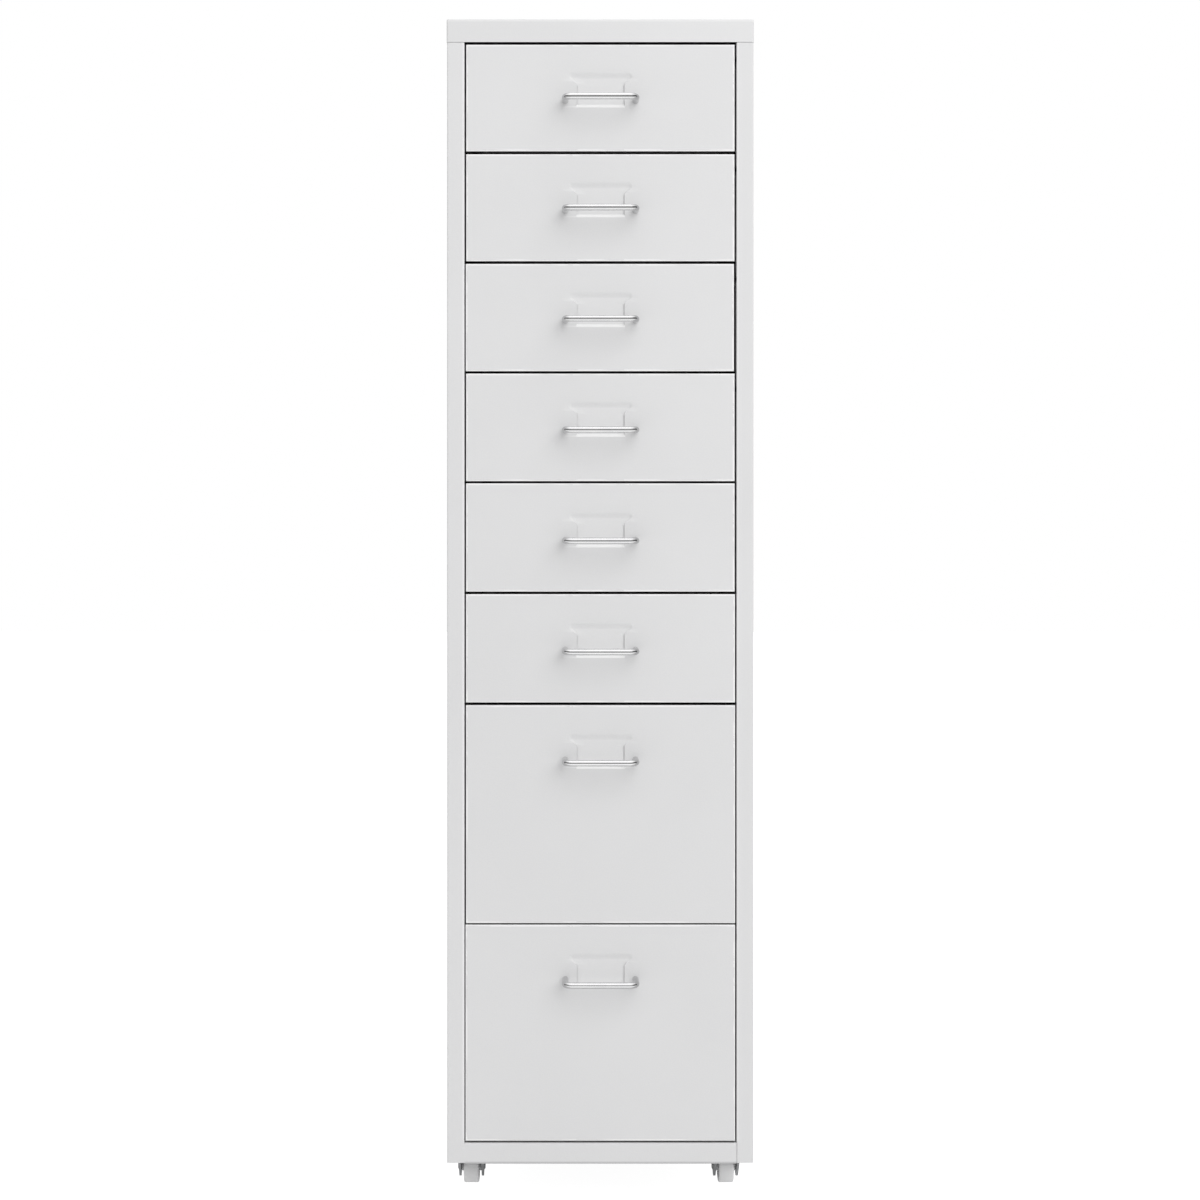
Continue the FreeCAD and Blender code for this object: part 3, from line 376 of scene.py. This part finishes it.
# --------------------------------------------------------------------------
# mesh tools; points are (x, y, z) in millimetres
# --------------------------------------------------------------------------
class Shape:
    """Collects points, faces and one number per point, then makes a mesh."""

    def __init__(self):
        self.points, self.faces, self.marks = [], [], []

    def add(self, points, marks=None):
        first = len(self.points)
        self.points.extend(points)
        self.marks.extend(marks if marks is not None else [0.0] * len(points))
        return list(range(first, first + len(points)))

    def strip(self, a, b, closed=False):
        count = len(a)
        for i in range(count if closed else count - 1):
            j = (i + 1) % count
            self.faces.append((a[i], a[j], b[j], b[i]))

    def cap(self, ring, flip=False):
        self.faces.append(tuple(reversed(ring)) if flip else tuple(ring))

    def make(self, name, slot, body, nodes=(), mark="painted_shading", angle=32.0, weld=0.004):
        mesh = bpy.data.meshes.new(name)
        mesh.from_pydata([(x / 1000, y / 1000, z / 1000) for x, y, z in self.points], [], self.faces)
        layer = mesh.attributes.new(mark, "FLOAT", "POINT")
        layer.data.foreach_set("value", self.marks)
        work = bmesh.new()
        work.from_mesh(mesh)
        bmesh.ops.remove_doubles(work, verts=work.verts, dist=weld / 1000)
        bmesh.ops.dissolve_degenerate(work, edges=work.edges, dist=1e-7)
        bmesh.ops.recalc_face_normals(work, faces=work.faces)
        for face in work.faces:
            face.smooth = True
        work.to_mesh(mesh)
        work.free()
        mesh.set_sharp_from_angle(angle=math.radians(angle))
        mesh.materials.append(MATS[slot])
        obj = bpy.data.objects.new(name, mesh)
        scene.collection.objects.link(obj)
        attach(obj, body)
        if nodes:
            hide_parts(*nodes)
        return obj


def unit(a, b):
    dx, dy = b[0] - a[0], b[1] - a[1]
    length = math.hypot(dx, dy)
    return dx / length, dy / length


def sheet_lines(path, thick, inner, steps=5, ease=0.12, band=1.2, folds=None):
    """Outer and inner line of a folded sheet, paired point by point, with a
    painted-highlight mark on the bends (0.2, or the value given for that
    bend in folds, which below zero is painted shade) and 0.3 on the
    rounded ends.  The sheet lies on the left of the path."""
    first, second, marks = [], [], []

    def both(p, q, mark):
        first.append(p)
        second.append(q)
        marks.append(mark)

    last = len(path) - 1
    for i, (x, y) in enumerate(path):
        if i == 0 or i == last:
            tx, ty = unit(path[0], path[1]) if i == 0 else unit(path[last], path[last - 1])
            nx, ny = (-ty, tx) if i == 0 else (ty, -tx)
            rounded_end = [((x + nx * ease, y + ny * ease), (x + nx * (thick - ease), y + ny * (thick - ease)), 0.3),
                           ((x + tx * ease, y + ty * ease), (x + nx * thick + tx * ease, y + ny * thick + ty * ease), 0.3),
                           ((x + tx * 3 * ease, y + ty * 3 * ease),
                            (x + nx * thick + tx * 3 * ease, y + ny * thick + ty * 3 * ease), 0.0)]
            for item in (rounded_end if i == 0 else rounded_end[::-1]):
                both(*item)
            continue
        ux, uy = unit(path[i - 1], path[i])
        wx, wy = unit(path[i], path[i + 1])
        turn = math.atan2(ux * wy - uy * wx, ux * wx + uy * wy)
        if abs(turn) < 1e-4:
            both((x, y), (x - uy * thick, y + ux * thick), 0.0)
            continue
        side = 1 if turn > 0 else -1
        r_path = inner + thick if side > 0 else inner       # radius of the path's own line
        r_other = inner if side > 0 else inner + thick
        reach = r_path * math.tan(abs(turn) / 2)
        sx, sy = x - ux * reach, y - uy * reach
        cx, cy = sx - uy * side * r_path, sy + ux * side * r_path
        base = math.atan2(sy - cy, sx - cx)
        both((sx - ux * band, sy - uy * band), (sx - ux * band - uy * thick, sy - uy * band + ux * thick), 0.0)
        for k in range(steps + 1):
            t = base + turn * k / steps
            c, n = math.cos(t), math.sin(t)
            both((cx + r_path * c, cy + r_path * n), (cx + r_other * c, cy + r_other * n), folds.get(i, 0.2) if folds else 0.2)
        ex, ey = cx + r_path * math.cos(base + turn), cy + r_path * math.sin(base + turn)
        both((ex + wx * band, ey + wy * band), (ex + wx * band - wy * thick, ey + wy * band + wx * thick), 0.0)
    return first, second, marks


PLANES = {"XY": lambda a, b, h: (a, b, h), "XZ": lambda a, b, h: (a, h, b), "YZ": lambda a, b, h: (h, a, b)}


def extrude_sheet(shape, plane, lines, low, high, ease=0.12, cuts=(), fade=None):
    """Adds the sheet between two heights with softened ends."""
    first, second, marks = lines
    where = PLANES[plane]
    stations = [(low, ease), (low + ease, 0.0)] + [(h, 0.0) for h in cuts] + [(high - ease, 0.0), (high, ease)]
    outer_rows, inner_rows = [], []
    for height, inset in stations:
        a_row, b_row = [], []
        row_marks = [m * (fade(height) if fade else 1.0) for m in marks]
        for (ax, ay), (bx, by) in zip(first, second):
            if inset:
                dx, dy = bx - ax, by - ay
                length = math.hypot(dx, dy) or 1.0
                k = min(inset, length * 0.45) / length
                ax, ay, bx, by = ax + dx * k, ay + dy * k, bx - dx * k, by - dy * k
            a_row.append(where(ax, ay, height))
            b_row.append(where(bx, by, height))
        outer_rows.append(shape.add(a_row, row_marks))
        inner_rows.append(shape.add(b_row, row_marks))
    for rows in (outer_rows, inner_rows):
        for a, b in zip(rows, rows[1:]):
            shape.strip(a, b)
    for end in (0, -1):                              # caps across the sheet
        shape.strip(outer_rows[end], inner_rows[end])
    for end in (0, -1):                              # free edges along the sheet
        shape.strip([row[end] for row in outer_rows], [row[end] for row in inner_rows])


def block(shape, x0, y0, z0, x1, y1, z1, ease=0.3, mark=0.0):
    """Box with eased edges."""
    def ring(z, inset):
        c = ease
        a, b, d, e = x0 + inset, x1 - inset, y0 + inset, y1 - inset
        return [(a + c, d, z), (b - c, d, z), (b, d + c, z), (b, e - c, z), (b - c, e, z), (a + c, e, z), (a, e - c, z), (a, d + c, z)]
    rings = [shape.add(ring(z, i), [mark] * 8) for z, i in ((z0, ease), (z0 + ease, 0), (z1 - ease, 0), (z1, ease))]
    for a, b in zip(rings, rings[1:]):
        shape.strip(a, b, closed=True)
    shape.cap(rings[0], True)
    shape.cap(rings[-1])


def round_rect(x0, y0, x1, y1, radius, steps=5):
    """Corner by corner, counter-clockwise from the lower right corner's start."""
    points = []
    for cx, cy, start in ((x1 - radius, y0 + radius, -90), (x1 - radius, y1 - radius, 0),
                          (x0 + radius, y1 - radius, 90), (x0 + radius, y0 + radius, 180)):
        for k in range(steps + 1):
            t = math.radians(start + 90 * k / steps)
            points.append((cx + radius * math.cos(t), cy + radius * math.sin(t)))
    return points


def lathe(shape, profile, centre, axis="X", count=64, marks=None, closed=True):
    """Turns (along, radius) points round an axis through centre."""
    cx, cy, cz = centre
    rows = []
    for i, (along, radius) in enumerate(profile):
        row = []
        for k in range(count):
            t = 2 * math.pi * k / count
            c, s_ = radius * math.cos(t), radius * math.sin(t)
            if axis == "X":
                row.append((cx + along, cy + c, cz + s_))
            elif axis == "Z":
                row.append((cx + c, cy + s_, cz + along))
            else:
                row.append((cx + c, cy + along, cz + s_))
        rows.append(shape.add(row, [marks[i] if marks else 0.0] * count))
    for a, b in zip(rows, rows[1:]):
        shape.strip(a, b, closed=True)
    if closed:
        shape.strip(rows[-1], rows[0], closed=True)
    return rows


# --------------------------------------------------------------------------
# carcass pieces
# --------------------------------------------------------------------------
def top_cover():
    """Pan with lips all round: soft pressed edges, an inner skin and a hem
    behind its front lip."""
    s = Shape()
    x, y0, y1, low, top, skin, r = 140.0, FRONT, BACK, 1069.0, TOP, 0.7, 1.5
    steps = 5
    rings = []

    def ring(inset, z, mark, corner):
        rings.append(s.add([(px, py, z) for px, py in round_rect(-x + inset, y0 + inset, x - inset, y1 - inset, corner, steps)],
                           [mark] * 4 * (steps + 1)))

    # the third value of each ring is a painted highlight on the pressed edges
    ring(18.0, top - skin, 0.0, 0.8)                     # inner face of the top
    ring(skin + 0.8, top - skin, 0.0, 0.8)
    for k in range(1, 4):
        t = math.radians(90 * k / 3)
        ring(skin + 0.8 * (1 - math.sin(t)), top - skin - 0.8 * (1 - math.cos(t)), 0.3, 0.8)
    ring(skin, low + 0.12, 0.5, 0.8)
    ring(skin * 0.8, low, 0.3, 0.9)
    ring(skin * 0.2, low, 0.4, 1.3)
    ring(0.0, low + 0.15, 0.4, r)
    ring(0.0, low + 1.0, 0.0, r)
    ring(0.0, top - r - 1.6, 0.0, r)
    for k in range(7):
        t = math.radians(90 * k / 6)
        ring(r * (1 - math.cos(t)), top - r + r * math.sin(t), 0.3, max(r - r * (1 - math.cos(t)), 0.15))
    ring(r + 1.6, top, 0.0, 0.2)
    for a, b in zip(rings, rings[1:]):
        s.strip(a, b, closed=True)
    s.cap(rings[0], True)
    s.cap(rings[-1])
    # hem behind the front lip, with a faint painted highlight
    block(s, -137.5, y0 + skin, low + 0.1, 137.5, y0 + 2 * skin, low + 9, 0.2, 0.2)
    s.make("cover_sheet", "carcass_paint", "cabinet", ["top_cover"])


def side_panels():
    """Folded side: front post with its return lip, rear flange with its lip,
    top flange with the tongue inside the cover, foot flange."""
    for side, name, inner in ((-1, "left", POSTS[0]), (1, "right", POSTS[1])):
        s = Shape()
        path = [(inner, FRONT + 17), (inner, FRONT), (139.6, FRONT), (139.6, 201.6), (123.5, 201.6), (123.5, 187.0)]
        # bend marks are painted highlight, strongest on the post's front bend
        lines = sheet_lines(path, 0.7, 0.5, 6, folds={1: 0.45, 2: 0.0, 3: 0.0, 4: 0.1})
        if side < 0:
            lines = ([(-a, b) for a, b in lines[0]], [(-a, b) for a, b in lines[1]], lines[2])
        # no painted highlight below 67 mm, beside the plinth
        extrude_sheet(s, "XY", lines, 48.0, 1068.6, cuts=(66.0, 69.0, 560.0), fade=lambda z: 0.0 if z < 67 else 1.0)
        if side < 0:                                     # paint has filled the seam beside the plinth
            block(s, -inner - 1.3, FRONT + 0.02, 48.1, -inner + 0.25, FRONT + 0.7, 65.9, 0.05)
        # tongue and top flange, one angle inside the cover
        angle = sheet_lines([(139.3, 1060.0), (139.3, 1089.3), (111.3, 1089.3)], 0.7, 0.5, 4)
        if side < 0:
            angle = ([(-a, b) for a, b in angle[0]], [(-a, b) for a, b in angle[1]], angle[2])
        extrude_sheet(s, "XZ", angle, FRONT + 1.8, 201.4)
        low_x, high_x = (107.6, 139.3) if side > 0 else (-139.3, -107.6)
        block(s, low_x, FRONT + 2, 48.0, high_x, 199.6, 48.7, 0.15)
        low_x, high_x = (123.5, 138.9) if side > 0 else (-138.9, -123.5)
        block(s, low_x, 200.9, 1067.0, high_x, 201.6, 1089.2, 0.15)
        s.make("side_sheet_%s" % name, "carcass_paint", "cabinet", ["side_panel_%s" % name])


def bottom_pan():
    """Bottom panel: its front lip is the plinth, with a return on top."""
    s = Shape()
    top = 68.0 - LINES[68][1] - LINES[68][0] / 2
    path = [(FRONT + 10, top), (FRONT, top), (FRONT, FLOOR_GAP), (201.6, FLOOR_GAP), (201.6, top - 1)]
    # painted shade on the plinth's lower bend (mark -0.3), none on its upper bend
    lines = sheet_lines(path, 1.0, 0.5, 6, folds={1: 0.0, 2: -0.3})
    # the run is taken so that the sheet lies inside it
    extrude_sheet(s, "YZ", lines, 0.08 - POSTS[0], POSTS[1] - 0.08)
    block(s, -137.0, FRONT + 5, FLOOR_GAP, 137.0, 197.0, FLOOR_GAP + 1.0, 0.15)
    s.make("plinth_pan", "carcass_paint", "cabinet", ["bottom_panel"])


def back_sheet():
    s = Shape()
    rows = []
    for y, inset in ((201.6, 0.15), (201.75, 0.0), (202.15, 0.0), (202.3, 0.15)):
        # the highlight mark 0.5 on every point paints the whole sheet lighter
        rows.append(s.add([(a, y, b) for a, b in round_rect(-138.4 + inset, 48.5 + inset, 138.4 - inset, 1089.0 - inset, 0.6, 2)],
                          [0.5] * 12))
    for a, b in zip(rows, rows[1:]):
        s.strip(a, b, closed=True)
    s.cap(rows[0], True)
    s.cap(rows[-1])
    s.make("back_sheet", "carcass_paint", "cabinet", ["back_panel"])


# --------------------------------------------------------------------------
# drawer fronts
# --------------------------------------------------------------------------
CARD_TOP, CARD_FOOT, CARD_END = 26.4, 56.2, 58.8
SLITS = (0.12, 0.22)            # width of the left and right side cut
CARD_HALF, CARD_DEEP, CARD_SHIFT = 21.5, 1.25, 0.4
# middle of the side slope: height below the level above, half width
CARD_SIDE = [(26.4, 27.0), (30.0, 27.6), (31.0, 27.6), (32.0, 27.2), (33.0, 26.3), (34.0, 25.0), (35.0, 23.6),
             (36.0, 22.5), (37.0, 21.7), (37.6, 21.5), (60.0, 21.5)]


def ease_curve(t):
    t = min(max(t, 0.0), 1.0)
    return t * t * (3 - 2 * t)


def card_side(d):
    """Outer half width of the pocket, the half width of its side slope, and
    how far the side cut is open, at a height."""
    middle = CARD_SIDE[0][1]
    for (d0, v0), (d1, v1) in zip(CARD_SIDE, CARD_SIDE[1:]):
        if d0 <= d <= d1:
            middle = v0 + (v1 - v0) * (d - d0) / (d1 - d0)
    foot = ease_curve((d - CARD_FOOT + 0.4) / 1.2)
    slope = 1.8 * (1 - ease_curve((d - 33.0) / 5.0)) + 0.9 * foot
    return middle + slope, slope, ease_curve((d - 35.5) / 4.0) * (1 - foot)


def drawer_front(number):
    """Pan whose face has the card pocket pressed into it: a strip between
    two side cuts, pushed back, that runs out softly at its shoulders and
    steeply at its foot."""
    s = Shape()
    upper = LEVEL[number] + PITCH[number]
    (wide_low, drop_low), (wide_high, drop_high) = LINES[round(LEVEL[number])], LINES[round(upper)]
    low, high = LEVEL[number] - drop_low + wide_low / 2, upper - drop_high - wide_high / 2
    upper -= POCKETS[number]
    r, deep, skin = 0.8, 12.0, 0.8
    left, right = SIDES[number][0] - r, SIDES[number][1] - r
    flat_low, flat_high = low + r, high - r

    depths = [CARD_TOP, 27.1, 27.8, 28.4, 29.0, 29.7, 30.4, 31.1, 31.8, 32.5, 33.3, 34.1, 34.9, 35.7, 36.5, 37.3, 38.1, 39.0,
              40.0, 44.0, 48.0, 52.0, 55.6, CARD_FOOT, 56.6, 56.95, 57.35, 57.75, 58.15, 58.5, CARD_END]
    above = [flat_high, flat_high - 1.3]
    gap_above = (flat_high - 1.3) - (upper - CARD_TOP)
    above += [flat_high - 1.3 - gap_above * k / 4 for k in range(1, 4)]
    start = upper - CARD_END
    below_count = 6 if number <= 6 else 14
    below = [start - (start - flat_low - 1.3) * k / below_count for k in range(1, below_count + 1)] + [flat_low]
    zs = above + [upper - d for d in depths] + below
    first_in, last_in = len(above), len(above) + len(depths) - 1

    outer_x = [0.0, 1.3, 96.0, 72.0, 50.0, 36.0]
    steps_in = [0.0, 0.5, 1.0, 1.5, 2.0]
    left_parts, mid_parts, right_parts = [], [], []
    for i, z in enumerate(zs):
        d = min(max(upper - z, CARD_TOP), CARD_END)
        inside = first_in < i < last_in
        edge, slope, open_ = card_side(d)
        xs = [v - left for v in outer_x[:2]] + [-v for v in outer_x[2:]] + [CARD_SHIFT - edge]
        left_parts.append(s.add([(x, FRONT, z) for x in xs]))
        xs = [CARD_SHIFT + edge] + [v for v in outer_x[:1:-1]] + [right - v for v in outer_x[1::-1]]
        right_parts.append(s.add([(x, FRONT, z) for x in xs]))
        base = CARD_DEEP * ease_curve((d - CARD_TOP) / 5.4) * ease_curve((CARD_END - d) / (CARD_END - CARD_FOOT))
        rows = []
        for wide_cut in SLITS:
            slit = wide_cut * open_ if inside else 0.0
            row = []
            for o in [slit + max(slope * k, 0.3 * k) for k in steps_in] + [edge * 0.45, edge]:
                side = ease_curve((o - slit) / (2 * slope)) if slope > 0.02 else 1.0
                row.append((edge - o, base * (open_ + (1 - open_) * side) if inside else 0.0))
            rows.append(row)
        # painted highlight on the pocket's foot slope (0.88) and a small painted lift of its shaded floor (0.12)
        painted_pocket_light = 0.88 if CARD_FOOT < d < CARD_END and inside else (0.12 if inside and d > 32.0 else 0.0)
        mid = [(CARD_SHIFT - x, FRONT + push, z) for x, push in rows[0]]
        mid += [(CARD_SHIFT + x, FRONT + push, z) for x, push in rows[1][-2::-1]]
        mid_parts.append(s.add(mid, [painted_pocket_light] * len(mid)))
    for rows in (left_parts, right_parts, mid_parts):
        for a, b in zip(rows, rows[1:]):
            s.strip(a, b)
    # rounded edge and return all round, from the face's boundary
    nx, nz = len(left_parts[0]), len(zs)
    ring = [(s.points[i], (0, 1)) for i in left_parts[0] + mid_parts[0][1:-1] + right_parts[0]]
    ring += [(s.points[right_parts[k][-1]], (1, 0)) for k in range(1, nz - 1)]
    bottom = left_parts[-1] + mid_parts[-1][1:-1] + right_parts[-1]
    ring += [(s.points[i], (0, -1)) for i in reversed(bottom)]
    ring += [(s.points[left_parts[k][0]], (-1, 0)) for k in range(nz - 2, 0, -1)]
    corners = {(-left, flat_high): (-1, 1), (right, flat_high): (1, 1), (right, flat_low): (1, -1), (-left, flat_low): (-1, -1)}
    ring = [(p, corners.get((p[0], p[2]), d)) for p, d in ring]
    rings = []
    # the rounded edge carries a full painted highlight (mark 1)
    for k in range(7):
        t = math.radians(90 * k / 6)
        o, back = r * math.sin(t), r * (1 - math.cos(t))
        rings.append(s.add([(p[0] + d[0] * o, FRONT + back, p[2] + d[1] * o) for p, d in ring], [1.0] * len(ring)))
    # the returns behind it; the bottom return is painted shade (mark -1), darkening the gap under each front
    for reach, short in ((r + 1.3, r + 1.3), (deep, 4.0)):
        rings.append(s.add([(p[0] + d[0] * r, FRONT + (short if d[1] < 0 else reach), p[2] + d[1] * r) for p, d in ring],
                           [-1.0 if d[1] < 0 else 0.0 for p, d in ring]))
    for a, b in zip(rings, rings[1:]):
        s.strip(a, b, closed=True)
    obj = s.make("front_pan_%d" % number, "drawer_paint", "drawer_%d" % number, ["drawer_%d_front" % number],
                 angle=40.0)
    thicken(obj, skin)
    return obj


def thicken(obj, skin):
    """Gives the surface its sheet thickness, inwards, and fixes the result."""
    mod = obj.modifiers.new("sheet", "SOLIDIFY")
    mod.thickness = skin / 1000
    mod.offset = -1.0
    mod.use_even_offset = True
    mod.use_rim = True
    mod.use_quality_normals = True
    bake(obj)


def bake(obj, angle=40.0):
    depsgraph = bpy.context.evaluated_depsgraph_get()
    mesh = bpy.data.meshes.new_from_object(obj.evaluated_get(depsgraph))
    old = obj.data
    obj.modifiers.clear()
    obj.data = mesh
    bpy.data.meshes.remove(old)
    mesh.name = obj.name
    mesh.set_sharp_from_angle(angle=math.radians(angle))


# --------------------------------------------------------------------------
# handles
# --------------------------------------------------------------------------
HANDLE_DROP = 53.6


def handle(number):
    """One bent wire with flat feet on the front. The bar hangs a little."""
    s = Shape()
    z = LEVEL[number] + PITCH[number] - HANDLE_DROP
    half, out, bend, r, hang = 32.0, 22.0, 6.5, 3.0, 0.9
    path, ways, marks = [], [], []

    def at(x, y, dx, dy, mark=1.0):
        path.append((x, y))
        ways.append((dx, dy))
        marks.append(mark)

    # the last value of each point paints shade and dark reflection on the chrome: lighter on the left leg and bend,
    # full on the right bend and leg
    at(-half, FRONT, 0, -1, 0.3)
    for k in range(1, 5):
        at(-half, FRONT - (out - bend) * k / 5, 0, -1, 0.3 + 0.4 * ease_curve(k / 3))
    for k in range(13):
        t = math.radians(90 * k / 12)
        at(-half + bend - bend * math.cos(t), FRONT - (out - bend) - bend * math.sin(t), math.sin(t), -math.cos(t),
           0.7 - 0.7 * ease_curve((k - 5) / 7))
    for k in range(1, 8):
        at(-half + bend + (2 * half - 2 * bend) * k / 8, FRONT - out, 1, 0, 0.0)
    for k in range(13):
        t = math.radians(90 * k / 12)
        at(half - bend + bend * math.sin(t), FRONT - (out - bend) - bend * math.cos(t), math.cos(t), math.sin(t),
           ease_curve(k / 7))
    for k in range(4, -1, -1):
        at(half, FRONT - (out - bend) * k / 5, 0, 1, 0.45 + 0.55 * ease_curve(k / 3))
    rows = []
    count = 32
    for i, ((x, y), (dx, dy)) in enumerate(zip(path, ways)):
        nx, ny = -dy, dx
        lift = hang * (1 - (FRONT - y) / out)
        rows.append(s.add([(x + nx * r * math.cos(2 * math.pi * k / count), y + ny * r * math.cos(2 * math.pi * k / count),
                            z + lift + r * math.sin(2 * math.pi * k / count)) for k in range(count)], [marks[i]] * count))
    for a, b in zip(rows, rows[1:]):
        s.strip(a, b, closed=True)
    s.cap(rows[0], True)
    s.cap(rows[-1])
    s.make("handle_wire_%d" % number, "handle_chrome", "drawer_%d" % number, ["drawer_%d_handle" % number],
           mark="bend", angle=50)


# --------------------------------------------------------------------------
# wheels
# --------------------------------------------------------------------------
CASTERS = {"front_left": (-121.7, -102.0), "front_right": (121.7, -102.0),
           "rear_left": (-121.7, 147.0), "rear_right": (121.7, 147.0)}


def wheel(name):
    """Moulded wheel: rounded tread, rim, recessed web with ribs, and a hub
    that stands out to the fork."""
    x, y = CASTERS[name]
    centre = (x, y + 18.0, 16.0)
    s = Shape()
    half, r_out, soft, r_rim, hub, r_hub, web, bore = 7.25, 16.0, 1.8, 11.5, 9.4, 5.0, 3.0, 2.65
    side = [(web, r_hub + 0.5), (web, r_rim - 0.6), (web + 0.3, r_rim - 0.15), (web + 0.8, r_rim),
            (half - 0.5, r_rim + 0.5), (half - 0.15, r_rim + 0.75), (half, r_rim + 1.15), (half, r_out - soft)]
    side += [(half - soft + soft * math.cos(math.radians(a)), r_out - soft + soft * math.sin(math.radians(a)))
             for a in (15, 30, 45, 60, 75, 90)]
    side += [(0.35, r_out)]
    inner = [(hub, bore + 0.3), (hub, r_hub - 0.5), (hub - 0.15, r_hub - 0.15), (hub - 0.5, r_hub),
             (web + 0.5, r_hub), (web + 0.15, r_hub + 0.15)]
    right = inner + side
    profile = right + [(0.12, r_out - 0.0)] + [(-a, b) for a, b in ([(0.12, r_out)] + right[::-1])]
    profile += [(-hub + 0.3, bore), (hub - 0.3, bore)]
    marks = [1.0 if b > r_out - 0.4 else 0.0 for a, b in profile]
    lathe(s, profile, centre, "X", 72, marks)
    # ribs in the web's recess on both faces
    for face in (-1, 1):
        for k in range(6):
            t = math.pi / 6 + k * math.pi / 3
            c, n = math.cos(t), math.sin(t)
            a0, a1, w = r_hub - 0.2, r_rim - 0.2, 0.7
            x_in, x_out = face * (web - 0.2), face * (web + 2.4)
            base = []
            for xx, inset in ((x_in, 0.0), (x_out - face * 0.25, 0.0), (x_out, 0.22)):
                ww = w - inset
                base.append(s.add([(centre[0] + xx, centre[1] + a * c - v * n, centre[2] + a * n + v * c)
                                   for a, v in ((a0, -ww), (a1, -ww), (a1, ww), (a0, ww))]))
            for p, q in zip(base, base[1:]):
                s.strip(p, q, closed=True)
            s.cap(base[0], face > 0)
            s.cap(base[-1], face < 0)
    s.make("wheel_%s_moulding" % name, "wheel_plastic", "wheel_%s" % name, ["caster_%s_wheel" % name],
           mark="tread", angle=38)


# --------------------------------------------------------------------------
# the scene
# --------------------------------------------------------------------------
scene.view_settings.view_transform = "Standard"
make_camera()
make_world()
make_floor()
key = area("key", (1.3, -2.5, 2.15), (0, -0.17, 0.6), (3.0, 3.0), 47)
key.visible_glossy = False

top_cover()
side_panels()
bottom_pan()
back_sheet()
for number in range(1, 9):
    drawer_front(number)
    handle(number)
for name in CASTERS:
    wheel(name)

for name, obj in frame["nodes"].items():
    for slot_ in obj.material_slots:
        slot_.link = "OBJECT"
        slot_.material = MATS[SLOT[name]]
